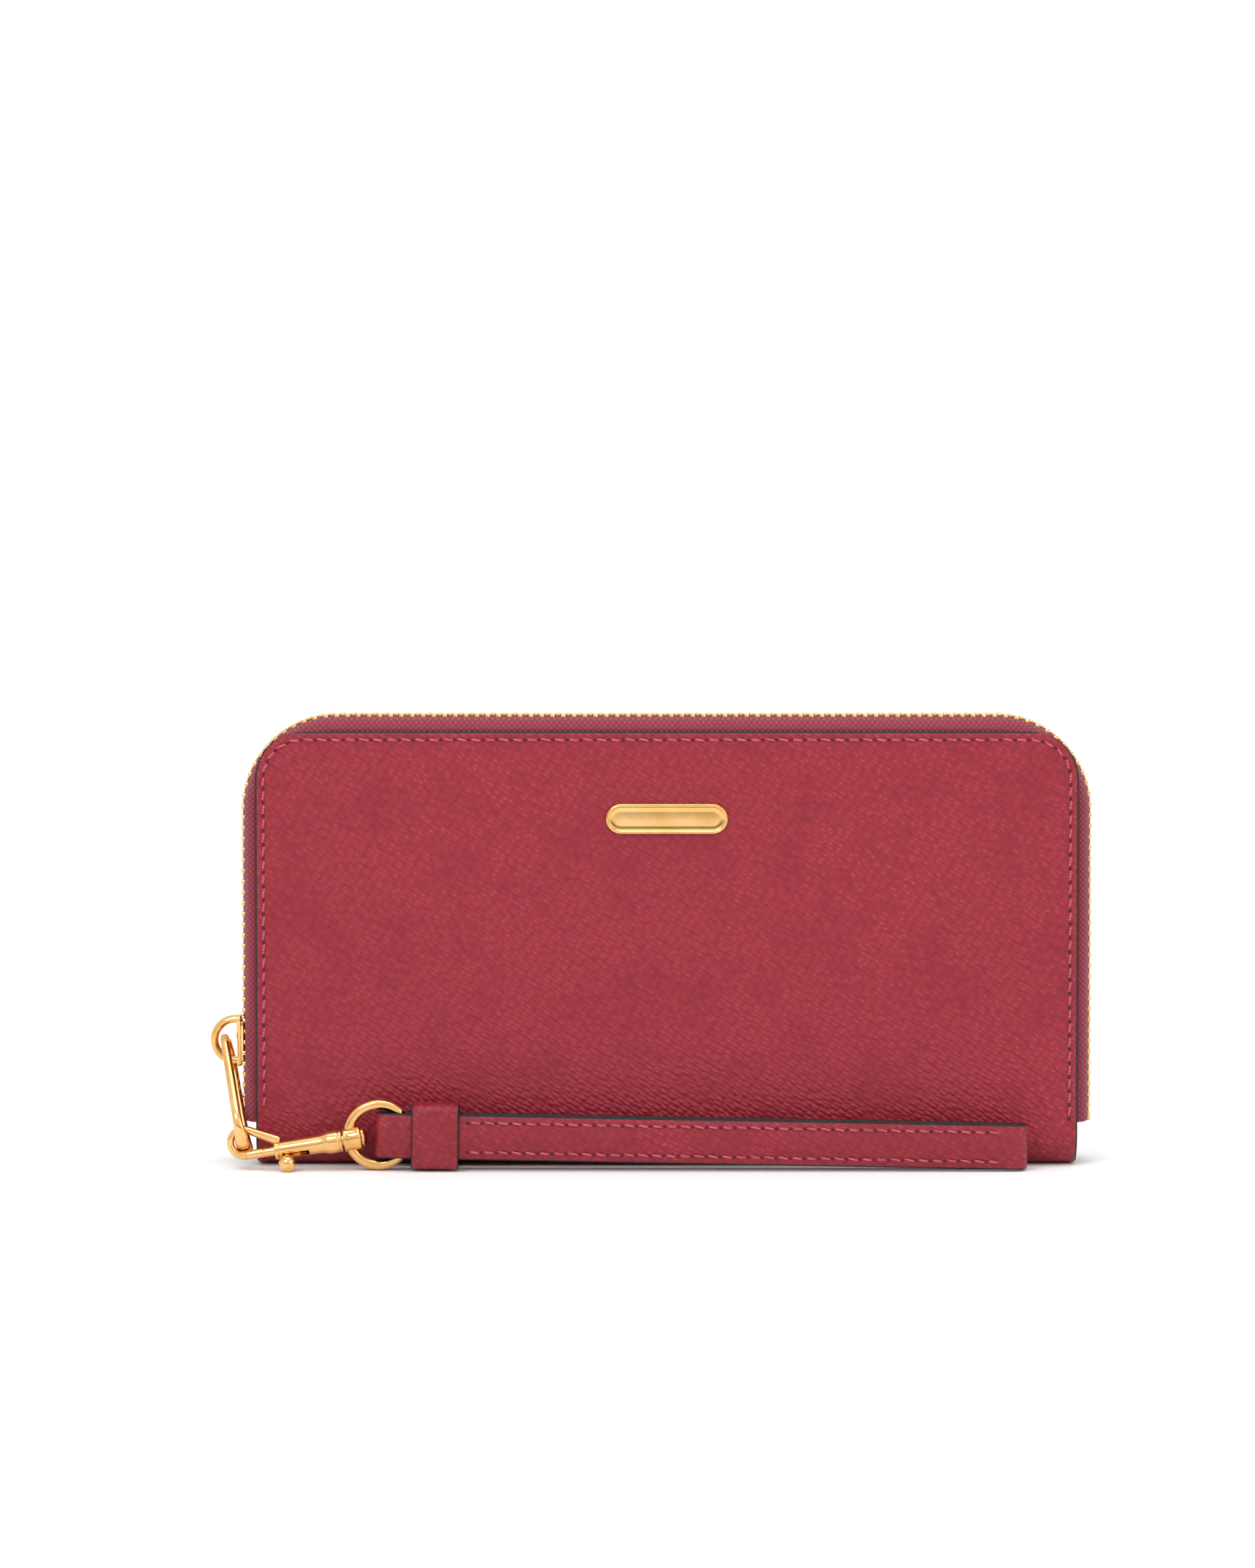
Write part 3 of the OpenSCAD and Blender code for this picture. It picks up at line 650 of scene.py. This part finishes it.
def cover_stitches(name, back, body, replaced):
    inset, pitch = STITCH_INSET, STITCH_PITCH
    half, low, high, r = HALF_W - inset, FOLD_Z + 2*MM, TOP - inset, CORNER_R - inset
    flip = Matrix.Diagonal((1, -1 if back else 1, 1, 1))
    count = int(arch_len(half, low, high, r)/pitch)
    threads, hole_shade_spots = [], []
    for i in range(count):
        for kind, at in ((threads, (i + 0.5)*pitch), (hole_shade_spots, i*pitch)):
            place = on_arch(arch_at(at, half, low, high, r))
            kind.append(flip @ place @ Matrix.Translation((0, -HALF_T + 0.03*MM, 0)))
    stitch = repeat(name, capsule(pitch - STITCH_GAP, 0.58*MM, 0.26*MM, lean=0.3), threads, THREAD)
    # Dark discs at the needle holes: painted shade of the holes.
    hole_shade = repeat(name + "_hole_shades", dimple(0.42*MM), hole_shade_spots, HOLE_SHADE)
    whole = join(name, [stitch, hole_shade])
    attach(whole, body)
    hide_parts(replaced)


cover_stitches("front_cover_stitches", False, "front_half", "front_stitching")
cover_stitches("back_cover_stitches", True, "back_half", "back_stitching")


# ---- main zip ----

def zip_tape(name, sign, body, replaced):
    """The woven tape, bulging out from the leather's edge, with a cord edge under the teeth."""
    deep, thick, out = HALF_T - LEATHER, TAPE_T, BULGE - 0.6*MM
    outer, inner = [(-TAPE_UNDER, -deep)], []
    for k in range(19):
        a = math.radians(5*k)
        outer.append((out*math.sin(a), -TAPE_EDGE - (deep - TAPE_EDGE)*math.cos(a)))
        inner.append(((out - thick)*math.sin(a), -TAPE_EDGE - (deep - thick - TAPE_EDGE)*math.cos(a)))
    inner = inner[::-1] + [(-TAPE_UNDER, -deep + thick)]
    bead = []
    for q in range(-80, 260, 20):
        a = math.radians(q)
        bead.append((out - 0.3*MM + 0.55*MM*math.sin(a), -TAPE_EDGE + 0.35*MM - 0.55*MM*math.cos(a)))
    half, low, high, r = HALF_W, FOLD_Z + 1*MM, TOP, ZIP_R - BULGE
    rings, beads = [], []
    total = arch_len(half, low, high, r)
    count = 260
    for i in range(count + 1):
        place = on_arch(arch_at(total*i/count - 1e-9, half, low, high, r))
        rings.append([place @ Vector((o, sign*y, 0)) for o, y in outer + inner])
        beads.append([place @ Vector((o, sign*y, 0)) for o, y in bead])
    tape = add_mesh(name, *skin(rings), [TAPE_RED])
    edges_sharp(tape)
    cord_edge = add_mesh(name + "_bead", *skin(beads), [TAPE_RED])
    whole = join(name, [tape, cord_edge])
    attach(whole, body)
    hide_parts(replaced)


def tooth_unit():
    """One metal tooth: jaws clamped round the tape's edge, a narrower neck and a rounded head."""
    work = bmesh.new()
    length, depth = 1.15*MM, TOOTH_D
    outline = [(-3.7, -0.36), (-3.2, -0.5), (-1.7, -0.5), (-1.2, -0.34), (-0.5, -0.34), (0.0, -0.5),
               (0.45, -0.42), (0.6, -0.15), (0.6, 0.15), (0.45, 0.42), (0.0, 0.5), (-0.5, 0.34),
               (-1.2, 0.34), (-1.7, 0.5), (-3.2, 0.5), (-3.7, 0.36)]
    low = [work.verts.new((-depth/2, y*MM, l*length)) for y, l in outline]
    high = [work.verts.new((depth/2, y*MM, l*length)) for y, l in outline]
    work.faces.new(low)
    work.faces.new(high[::-1])
    for k in range(len(outline)):
        m = (k + 1) % len(outline)
        work.faces.new((low[k], high[k], high[m], low[m]))
    bmesh.ops.recalc_face_normals(work, faces=work.faces)
    rim = [e for e in work.edges if abs(e.verts[0].co.x - e.verts[1].co.x) < 1e-9]
    bmesh.ops.bevel(work, geom=rim, offset=0.16*MM, segments=2, affect="EDGES", profile=0.6)
    work.verts.index_update()
    made = [v.co.copy() for v in work.verts], [tuple(v.index for v in f.verts) for f in work.faces]
    work.free()
    return made


def zip_teeth(name, sign, shift, body, replaced):
    mid = BULGE - TOOTH_D/2
    half, low, high, r = HALF_W + mid, ZIP_START, TOP + mid, ZIP_R - BULGE + mid
    count = int(arch_len(half, low, high, r)/TOOTH_PITCH - shift)
    flip = Matrix.Diagonal((1, sign, 1, 1))
    places = [flip @ on_arch(arch_at((i + shift + 0.5)*TOOTH_PITCH, half, low, high, r))
              for i in range(count)]
    teeth = repeat(name, tooth_unit(), places, ZIP_GOLD)
    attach(teeth, body)
    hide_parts(replaced)


zip_tape("front_tape", 1, "front_half", "front_zip_tape")
zip_tape("back_tape", -1, "back_half", "back_zip_tape")
zip_teeth("front_teeth", 1, 0, "front_half", "front_zip_teeth")
zip_teeth("back_teeth", -1, 0.5, "back_half", "back_zip_teeth")


# ---- zip slider ----

def plate(name, outline, x_from, x_to, mat, round_off=0.3*MM):
    """A plate drawn as (y, z) and given its thickness along X, with rounded edges."""
    n = len(outline)
    verts = [Vector((x, y, z)) for x in (x_from, x_to) for y, z in outline]
    faces = [tuple(range(n - 1, -1, -1)), tuple(n + k for k in range(n))]
    faces += [(k, (k + 1) % n, n + (k + 1) % n, n + k) for k in range(n)]
    obj = add_mesh(name, verts, faces, [mat])
    return bevel(obj, round_off, 3, 25)


def slider_outline(half, low, high):
    """A shield: broad and round at the top, drawn in to a narrower tail."""
    span = high - low
    side = []
    for k in range(9):
        a = math.radians(90 - 90*k/8)
        side.append((half - 1.2*MM + 1.2*MM*math.cos(a), high - 1.2*MM + 1.2*MM*math.sin(a)))
    for k in range(1, 11):
        t = k/10
        side.append((half - half*0.3*t*t*(3 - 2*t), high - 1.2*MM - (span*0.75)*t))
    side.append((half*0.66, low + 0.5*MM))
    side.append((half*0.5, low))
    return side + [(-y, z) for y, z in side[::-1]]


def zip_slider():
    low, high = SLIDER[0][2], SLIDER[1][2]
    half = (SLIDER[1][1] - SLIDER[0][1])/2
    inner_x = SLIDER[1][0]
    thick = SLIDER_PLATE
    face_x = -(HALF_W + BULGE + 0.2*MM)
    outline = slider_outline(half, low, high)
    parts = [plate("slider", outline, face_x - thick, face_x, GOLD),
             plate("slider_inner", outline, inner_x - thick, inner_x, GOLD)]
    for side in (-1, 1):
        for x_from, x_to in ((face_x - 0.2*MM, face_x + 0.55*MM),
                             (inner_x - thick - 0.45*MM, inner_x - 0.6*MM)):
            flange = [(side*(half - 0.75*MM), low + 1.2*MM), (side*half*0.97, high - 3*MM),
                      (side*half*0.97, high - 1.5*MM), (side*(half - 0.75*MM), high - 1.5*MM)]
            if side < 0:
                flange = flange[::-1]
            parts.append(plate("flange", flange, x_from, x_to, GOLD, 0.15*MM))
    web, web_low, web_high = 0.15*MM, low + 0.4*MM, low + 3.5*MM
    post = [(-web, web_low), (web, web_low), (web, web_high), (-web, web_high)]
    parts.append(plate("post", post, face_x - 0.3*MM, inner_x - thick + 0.3*MM, GOLD, 0.05*MM))
    root_x = face_x - 0.4*MM
    crown_x, crown_z = face_x - thick - 0.5*MM, (low + high)/2
    path = [Vector((x, 0, crown_z + CROWN_R)) for x in (root_x, face_x - thick)]
    for q in range(88, -90, -4):
        back, up = circle(CROWN_R, q)
        path.append(Vector((crown_x - back, 0, crown_z + up)))
    path += [Vector((x, 0, crown_z - CROWN_R)) for x in (face_x - thick, root_x)]
    parts.append(tube("crown", path, lambda t: (0.95*MM, (1.5 - 0.3*math.sin(math.pi*t))*MM), GOLD))
    return join("main_zip_slider", parts)


slider = zip_slider()
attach(slider, "main_slider")
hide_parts("zip_slider")


# ---- pull link ----

def link_path():
    """The link's own curve: a small bow at the crown, straight legs and a wider bow in the hook's eye."""
    top = Vector(joint("link_swing")["pos_m"])
    bottom = Vector(joint("hook_swing")["pos_m"])
    down = (bottom - top).normalized()
    across = (Vector((0, 1, 0)) - down.y*down).normalized()
    small, wide = LINK_TOP_R, LINK_LOW_R
    length = (bottom - top).length
    splay = math.asin((wide - small)/(length - small - wide))
    c_top, c_low = top + down*small, bottom - down*wide
    path = []
    for k in range(41):
        a = -math.pi/2 + splay + (math.pi - 2*splay)*k/40
        path.append(c_top - down*small*math.cos(a) + across*small*math.sin(a))
    end = c_low + down*wide*math.cos(math.pi/2 + splay) + across*wide*math.sin(math.pi/2 + splay)
    path += [path[-1].lerp(end, k/16) for k in range(1, 16)]
    for k in range(61):
        a = math.pi/2 + splay - (math.pi + 2*splay)*k/60
        path.append(c_low + down*wide*math.cos(a) + across*wide*math.sin(a))
    path += [path[-1].lerp(path[0], k/16) for k in range(1, 16)]
    return path, down.cross(across)


path, normal = link_path()
link = tube("pull_link_wire", path, lambda t: ((0.8 + 0.15*max(0.0, math.cos(2*math.pi*(t - 0.62))))*MM,
                                                (1.0 + 0.8*max(0.0, math.cos(2*math.pi*(t - 0.62)))**2)*MM),
            GOLD, closed=True, sides=28, side=normal)
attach(link, "link")
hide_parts("pull_link")


# ---- bolt-snap hook ----

HOOK = Matrix.Translation(RING_MID) @ Matrix.Rotation(-HOOK_TILT, 4, "Y")
BARREL = HOOK @ Matrix.Rotation(math.pi/2, 4, "Y")
EYE_U, EYE_R = -30.7*MM, 3.0*MM
KNOB_TURN = Matrix.Rotation(math.radians(-45), 4, "X")


def mm(profile):
    return [(a*MM, b*MM) for a, b in profile]


def hook_barrel():
    outside = [(-24.0, 1.13), (-24.0, 2.0), (-23.2, 2.05), (-22.9, 1.9), (-22.6, 2.0), (-13.2, 2.15),
               (-12.2, 2.4), (-11.6, 2.62), (-9.4, 2.65), (-9.1, 2.45), (-8.9, 2.65), (-8.35, 2.6),
               (-8.3, 1.3)]
    inside = [(-8.6, 1.15), (-24.0, 1.13)]
    obj = lathe("hook_barrel_turned", rounded(mm(outside), 0.25*MM) + mm(inside), GOLD, BARREL, 72)
    work = bmesh.new()
    work.from_mesh(obj.data)
    caps = [f for f in work.faces if len(f.verts) > 8]
    bmesh.ops.delete(work, geom=caps, context="FACES_ONLY")
    bmesh.ops.remove_doubles(work, verts=work.verts, dist=1e-7)
    bmesh.ops.recalc_face_normals(work, faces=work.faces)
    work.to_mesh(obj.data)
    work.free()
    corners = ((-0.8, -6), (0.8, -6), (0.8, 0), (-0.8, 0))
    rings = [[HOOK @ KNOB_TURN @ Vector((u*MM, v*MM, w*MM)) for v, w in corners] for u in (-22.2, -16.1)]
    cutter = add_mesh("cutter", *skin(rings), [GOLD], smooth=False)
    made = obj.modifiers.new("slot", "BOOLEAN")
    made.operation = "DIFFERENCE"
    made.object = cutter
    made.solver = "EXACT"
    apply_modifiers(obj)
    bpy.data.objects.remove(cutter)
    edges_sharp(obj, 30)
    return obj


def hook_eye():
    """The eye: a wire that swells behind the barrel and closes round to the nose."""
    path = []
    arm = math.radians(62.3)
    start = Vector((EYE_U + EYE_R*math.cos(arm), 0, EYE_R + EYE_R*math.sin(arm)))
    along = Vector((math.sin(arm), 0, -math.cos(arm)))
    path += [start + along*(7.6*MM)*(1 - k/14) for k in range(14)]
    for k in range(61):
        a = arm + (math.radians(272) - arm)*k/60
        path.append(Vector((EYE_U + EYE_R*math.cos(a), 0, EYE_R + EYE_R*math.sin(a))))

    def swell(t):
        thick = 0.86 + 0.3*max(0, 1 - 5*t) + 0.2*max(0, (t - 0.8)*5)**2
        return thick*MM, (1.0 + 0.25*max(0, 1 - 4*t))*MM

    wire = tube("hook_eye_wire", [HOOK @ p for p in path], swell, GOLD, sides=28)
    nose = mm([(-31.3, 0.0), (-31.3, 1.0), (-30.75, 1.16), (-30.72, 0.0)])
    tip = lathe("nose", rounded(nose, 0.15*MM), GOLD, BARREL, 32)
    return join("hook_eye_wire", [wire, tip])


barrel = hook_barrel()
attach(barrel, "hook")
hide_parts("hook_barrel")
eye = hook_eye()
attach(eye, "hook")
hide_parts("hook_eye", "hook_neck")

pin_side = mm([(-8.3, 0.0), (-8.3, 1.3), (-3.95, 1.3), (-3.95, 2.1)])
pin_head = [((-3.75 + 1.2*math.sin(math.radians(q)))*MM, 2.3*MM*math.cos(math.radians(q)))
            for q in range(0, 91, 9)]
pin = lathe("swivel_pin_turned", pin_side + pin_head, GOLD, BARREL, 48)
edges_sharp(pin, 40)
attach(pin, "hook")
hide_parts("swivel_pin")


def spring_wire():
    """A coil spring at its shortest, inside the barrel."""
    turns, from_u, to_u, r = 4, -13.4*MM, -9.2*MM, 0.85*MM
    path = []
    for k in range(turns*20 + 1):
        a = 2*math.pi*k/20
        path.append(BARREL @ Vector((r*math.cos(a), r*math.sin(a), from_u + (to_u - from_u)*k/(turns*20))))
    return tube("spring_wire", path, 0.17*MM, STEEL, sides=8)


spring = spring_wire()
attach(spring, "hook")
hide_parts("hook_spring")


def bolt():
    side = mm([(-30.6, 0.0), (-30.6, 0.95), (-30.3, 1.05), (-26.6, 1.05), (-26.4, 0.93), (-26.2, 1.05),
               (-18.3, 1.05), (-18.2, 0.9), (-18.2, 0.0)])
    rod = lathe("sliding_bolt", rounded(side, 0.12*MM), GOLD, BARREL, 40)
    at = HOOK @ KNOB_TURN @ Matrix.Translation((-21.4*MM, 0, 0))
    ball, mid = 1.95*MM, -4.2*MM
    neck = 0.62*MM
    knob = [(-0.5*MM, 0.0), (-0.5*MM, neck), (mid + ball*0.93, neck)]
    for q in range(24, 158, 7):
        along, out = circle(ball, q)
        knob.append((mid + along, out))
    knob += [(mid - ball*0.96, 0.45*ball), (mid - ball*0.96, 0.0)]
    return join("sliding_bolt", [rod, lathe("knob", knob, GOLD, at, 40)])


slide = bolt()
edges_sharp(slide, 40)
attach(slide, "bolt")
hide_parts("hook_bolt")


# ---- D-ring and collar ----

def d_ring():
    end = math.asin(RING_BAR/RING_R)
    bar_x = RING_R*math.cos(end)
    path = [RING_MID + Vector((RING_R*math.cos(a), 0, RING_R*math.sin(a)))
            for a in (end + (2*math.pi - 2*end)*k/120 for k in range(121))]
    low, high = RING_MID + Vector((bar_x, 0, -RING_BAR)), RING_MID + Vector((bar_x, 0, RING_BAR))
    path += [low.lerp(high, k/10) for k in range(1, 10)]
    return tube("d_ring_wire", path, RING_WIRE, GOLD, closed=True, sides=32)


ring = d_ring()
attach(ring, "ring")
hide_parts("swivel_ring")
collar_side = mm([(-8.0, 1.38), (-8.0, 2.7), (-7.6, 2.85), (-6.9, 2.7), (-5.1, 2.7), (-4.4, 2.85),
                  (-4.0, 2.7), (-4.0, 1.38)])
collar = lathe("ring_collar", rounded(collar_side, 0.2*MM), GOLD, BARREL, 64)
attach(collar, "ring")
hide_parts("swivel_collar")


# ---- wrist strap ----

AT_STRAP = Matrix.Translation(RING_MID) @ Matrix.Rotation(STRAP_TILT, 4, "Y")
STRAP_TO = STRAP_FROM + STRAP_L


def loop_path(inset, count=150):
    """The strap's plan, as points (along, across), counted from the tab's fold round the loop."""
    r = STRAP_T/2 - inset
    left, right = STRAP_FROM + STRAP_T/2, STRAP_TO - STRAP_T/2
    points = [(left + (right - left)*k/count, -r) for k in range(count)]
    turns = [circle(r, q) for q in range(0, 180, 9)]
    points += [(right + d, -c) for c, d in turns]
    points += [(right + (left - right)*k/count, r) for k in range(count)]
    points += [(left - d, c) for c, d in turns]
    return points


def strap_band(name, outer, inner, face_mat, inside_mat):
    """A closed band of leather standing on its edge, with its edges rounded over and painted."""
    half = STRAP_W/2
    soft = 0.35*MM
    low = [(0.0, -half + soft), (0.12, -half + soft*0.35), (0.32, -half)]
    low += [(1 - share, z) for share, z in low[::-1]]
    section = low + [(share, -z) for share, z in low[::-1]]
    outs, ins = loop_path(outer), loop_path(inner)
    rings = []
    for (xo, yo), (xi, yi) in zip(outs, ins):
        o, i = Vector((xo, yo, 0)), Vector((xi, yi, 0))
        ring = []
        for share, z in section:
            p = o.lerp(i, share)
            ring.append(AT_STRAP @ Vector((p.x, p.y, z)))
        rings.append(ring)
    verts, faces = skin(rings, closed_along=True)
    ids = []
    for f in range(len(faces)):
        k = f % 12
        ids.append(0 if k == 11 else 2 if k == 5 else 1)
    obj = add_mesh(name, verts, faces, [face_mat, EDGE, inside_mat], ids)
    edges_sharp(obj, 60)
    return obj


strap = strap_band("strap_leather_band", 0.0, PLY_T, STRAP_RED, POCKET_RED)
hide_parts("strap_tab", "strap_face", "strap_lining")
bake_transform(strap)

def strap_filler():
    half, r = STRAP_W/2 - 0.3*MM, STRAP_T/2 - PLY_T
    verts = [AT_STRAP @ Vector((x, y, z)) for x in (KEEPER_FROM, KEEPER_TO) for y, z in
             ((-r, -half), (r, -half), (r, half), (-r, half))]
    faces = [(0, 1, 2, 3), (7, 6, 5, 4), (0, 4, 5, 1), (1, 5, 6, 2), (2, 6, 7, 3), (3, 7, 4, 0)]
    return bevel(add_mesh("filler", verts, faces, [EDGE]), 0.3*MM)


filler = strap_filler()
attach(filler, "strap")
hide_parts("strap_filler")


def keeper():
    """The keeper: a band of leather wrapped round both plies, a little slack above and below them."""
    thick, half_h, side = KEEPER_T, KEEPER_H/2, STRAP_T/2 + KEEPER_T
    r = 2.1*MM
    count = 12
    outline, inner = [], []
    for cy, cz, base in ((1, 1, 0), (-1, 1, 90), (-1, -1, 180), (1, -1, 270)):
        for k in range(count + 1):
            mid_y, mid_z = cy*(side - r), cz*(half_h - r)
            for line, reach in ((outline, r), (inner, r - thick)):
                c, d = circle(reach, base + 90*k/count)
                line.append(Vector((0, mid_y + c, mid_z + d)))
    x_from, x_to = KEEPER_FROM, KEEPER_TO
    soft = 0.3*MM
    rings = []
    n = len(outline)
    for k in range(n):
        o, i = outline[k], inner[k]
        ring = []
        for share, x in ((0.0, x_from + soft), (0.3, x_from), (0.7, x_from), (1.0, x_from + soft),
                         (1.0, x_to - soft), (0.7, x_to), (0.3, x_to), (0.0, x_to - soft)):
            p = o.lerp(i, share)
            ring.append(AT_STRAP @ Vector((x, p.y, p.z)))
        rings.append(ring)
    verts, faces = skin(rings, closed_along=True)
    ids = [0 if f % 8 == 7 else 2 if f % 8 == 3 else 1 for f in range(len(faces))]
    obj = add_mesh("keeper_band", verts, faces, [STRAP_RED, EDGE, POCKET_RED], ids)
    edges_sharp(obj, 60)
    return obj


band = keeper()
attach(band, "strap")
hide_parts("strap_keeper")


def strap_stitches():
    pitch = STITCH_PITCH
    first, last = 20.5*MM, STRAP_TO - 6*MM
    count = int((last - first)/pitch)
    along = Matrix(((0, 0, 1, 0), (0, 1, 0, 0), (-1, 0, 0, 0), (0, 0, 0, 1)))
    threads, hole_shade_spots = [], []
    for side in (1, -1):
        flip = Matrix.Diagonal((1, side, 1, 1))
        for row in (-1, 1):
            for i in range(count):
                for kind, s in ((threads, first + (i + 0.5)*pitch), (hole_shade_spots, first + i*pitch)):
                    spot = Matrix.Translation((s, -STRAP_T/2 + 0.03*MM, row*(STRAP_W/2 - STRAP_INSET)))
                    kind.append(AT_STRAP @ flip @ spot @ along)
    unit = capsule(pitch - STITCH_GAP, 0.55*MM, 0.24*MM, lean=0.3)
    stitch = repeat("strap_stitches", unit, threads, THREAD)
    # Dark discs at the needle holes: painted shade of the holes.
    return join("strap_stitches", [stitch, repeat("strap_hole_shades", dimple(0.4*MM), hole_shade_spots, HOLE_SHADE)])


seam = strap_stitches()
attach(seam, "strap")
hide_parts("strap_stitching")


# ---- emblem ----

def pill(half_l, half_h, steps=24):
    points = []
    for base, side in ((-90, 1), (90, -1)):
        for k in range(steps + 1):
            a = math.radians(base + 180*k/steps)
            points.append((side*(half_l - half_h) + half_h*math.cos(a), half_h*math.sin(a)))
    return points


def emblem():
    """A plate with a raised, rounded rim round a sunk, plain field."""
    half_l, half_h = (PLATE[1][0] - PLATE[0][0])/2, (PLATE[1][2] - PLATE[0][2])/2
    mid_z = (PLATE[0][2] + PLATE[1][2])/2
    back_y = PLATE[1][1]
    rise = back_y - PLATE[0][1]
    rings = []
    profile = ((0, 0.0), (0, 0.55), (0.12, 0.85), (0.35, 1.0), (0.6, 0.97), (0.8, 0.78), (0.9, 0.55),
               (1.05, 0.5), (2.0, 0.52), (3.2, 0.54))
    for inset, h in profile:
        ring = pill(half_l - inset*MM, half_h - inset*MM)
        rings.append([Vector((x, back_y - rise*h, mid_z + z)) for x, z in ring])
    return add_mesh("emblem_plain_plate", *skin(rings), [GOLD])


badge = emblem()
edges_sharp(badge, 50)
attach(badge, "front_half")
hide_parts("emblem_plate")


# ---- side gussets: one pleated sheet a side, from the front half to the back half ----

def gusset(name, side, nodes):
    """An accordion of thin sheet: it runs from the front lining to the back one, with two deep pleats."""
    least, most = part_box("left_front_gusset")
    low, high, far = least[2], most[2], -least[1]
    outer, deep = HALF_W - GUSSET_INSET, 4.5*MM
    folds = [(-far, 0), (-far*0.72, 1), (-far*0.44, 0), (0, 0.25), (far*0.44, 0), (far*0.72, 1), (far, 0)]
    line = []
    for (y0, d0), (y1, d1) in zip(folds, folds[1:]):
        for k in range(8):
            t = k/8
            line.append((y0 + (y1 - y0)*t, d0 + (d1 - d0)*(t*t*(3 - 2*t))))
    line.append((far, 0))
    rows = 24
    verts = []
    for thick in (0.0, 0.35*MM):
        for i in range(rows + 1):
            z = low + (high - low)*i/rows
            for y, d in line:
                x = outer - thick - deep*d*(0.5 + 0.5*i/rows)
                verts.append(Vector((side*x, y, z)))
    n, half = len(line), (rows + 1)*len(line)
    faces = []
    for i in range(rows):
        for k in range(n - 1):
            a = i*n + k
            faces.append((a, a + 1, a + n + 1, a + n))
            faces.append((half + a, half + a + n, half + a + n + 1, half + a + 1))
    edge = border(rows + 1, n)
    faces += [(a, b, half + b, half + a) for a, b in zip(edge, edge[1:] + edge[:1])]
    obj = add_mesh(name, verts, faces, [LINING_RED])
    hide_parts(*nodes)
    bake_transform(obj)


gusset("left_gusset", -1, ("left_front_gusset", "left_back_gusset"))
gusset("right_gusset", 1, ("right_front_gusset", "right_back_gusset"))


# ---- the CAD nodes that keep their own shape ----

FINISH = {"lining": LINING_RED, "leather": POCKET_RED, "zip_tape": TAPE_RED, "zip_metal": ZIP_GOLD,
          "gold": GOLD, "steel": STEEL, "thread": THREAD}
slots = {row["node"]: row["material_slot"] for row in frame["record"]["subparts"]}
for name, obj in frame["nodes"].items():
    obj.data.materials.clear()
    obj.data.materials.append(FINISH[slots[name]])


# ---- floor, light and camera ----

def stage():
    """A pale paper sweep: flat under the wallet, and curved up into a wall well behind it."""
    bend_y, bend_r = 0.7, 0.6
    profile = [(-3, 0.0), (bend_y, 0.0)]
    for q in range(5, 91, 5):
        c, d = circle(bend_r, q)
        profile.append((bend_y + d, bend_r - c))
    profile.append((bend_y + bend_r, 3.0))
    verts = [Vector((x, y, z - 0.0001)) for y, z in profile for x in (-4, 4)]
    faces = [(2*k, 2*k + 1, 2*k + 3, 2*k + 2) for k in range(len(profile) - 1)]
    floor = add_mesh("floor", verts, faces, [])
    mat, tree, bsdf = new_material("pale_floor")
    cloud = noise(tree, coords(tree), 3, 2)
    tint = ramp(tree, cloud, [(0.3, (0.93, 0.93, 0.93)), (0.7, (0.95, 0.95, 0.95))])
    tree.links.new(tint, bsdf.inputs["Base Color"])
    bsdf.inputs["Roughness"].default_value = 0.6
    floor.data.materials.append(mat)


def area(name, at, aim, size, power, colour=(1, 1, 1)):
    light = bpy.data.lights.new(name, "AREA")
    light.shape = "RECTANGLE"
    light.size, light.size_y = size
    light.energy = power
    light.color = colour
    obj = bpy.data.objects.new(name, light)
    bpy.context.scene.collection.objects.link(obj)
    obj.location = at
    obj.rotation_euler = (Vector(aim) - Vector(at)).to_track_quat("-Z", "Y").to_euler()


stage()
world = bpy.data.worlds.new("studio")
bpy.context.scene.world = world
world.use_nodes = True
sky = world.node_tree
away = node(sky, "ShaderNodeSeparateXYZ")
sky.links.new(node(sky, "ShaderNodeTexCoord").outputs["Generated"], away.inputs["Vector"])
lift = maths(sky, "MULTIPLY", away.outputs["Z"], 2.2)
aside = maths(sky, "MULTIPLY", maths(sky, "ADD", away.outputs["Y"], 1.0), 0.9)
dim = ramp(sky, maths(sky, "MAXIMUM", lift, aside), [(0.05, (0.12, 0.12, 0.12)), (0.42, (1, 1, 1))])
sky.links.new(dim, sky.nodes["Background"].inputs["Color"])
sky.nodes["Background"].inputs["Strength"].default_value = 1.05
area("key", (-0.5, -0.9, 0.9), (0, 0, 0.05), (0.5, 0.35), 4.5)
area("top", (0.1, -0.1, 1.2), (0, 0, 0.05), (1.0, 0.7), 4.5)
area("fill", (0.9, -0.7, 0.5), (0, 0, 0.05), (0.5, 0.7), 1.5)

bpy.context.scene.view_settings.view_transform = "Standard"
lens_view = math.radians(14.6)
cam_data = bpy.data.cameras.new("camera")
cam_data.sensor_width = 36
cam_data.lens = 18/math.tan(lens_view/2)
cam = bpy.data.objects.new("camera", cam_data)
bpy.context.scene.collection.objects.link(cam)
aim = Vector((-0.009, -0.012, 0.088))
pitch = math.radians(3.7)
cam.location = aim - 1.4*Vector((0, math.cos(pitch), -math.sin(pitch)))
cam.rotation_euler = (math.pi/2 - pitch, 0, 0)
cam_data.clip_start = 0.05
bpy.context.scene.camera = cam
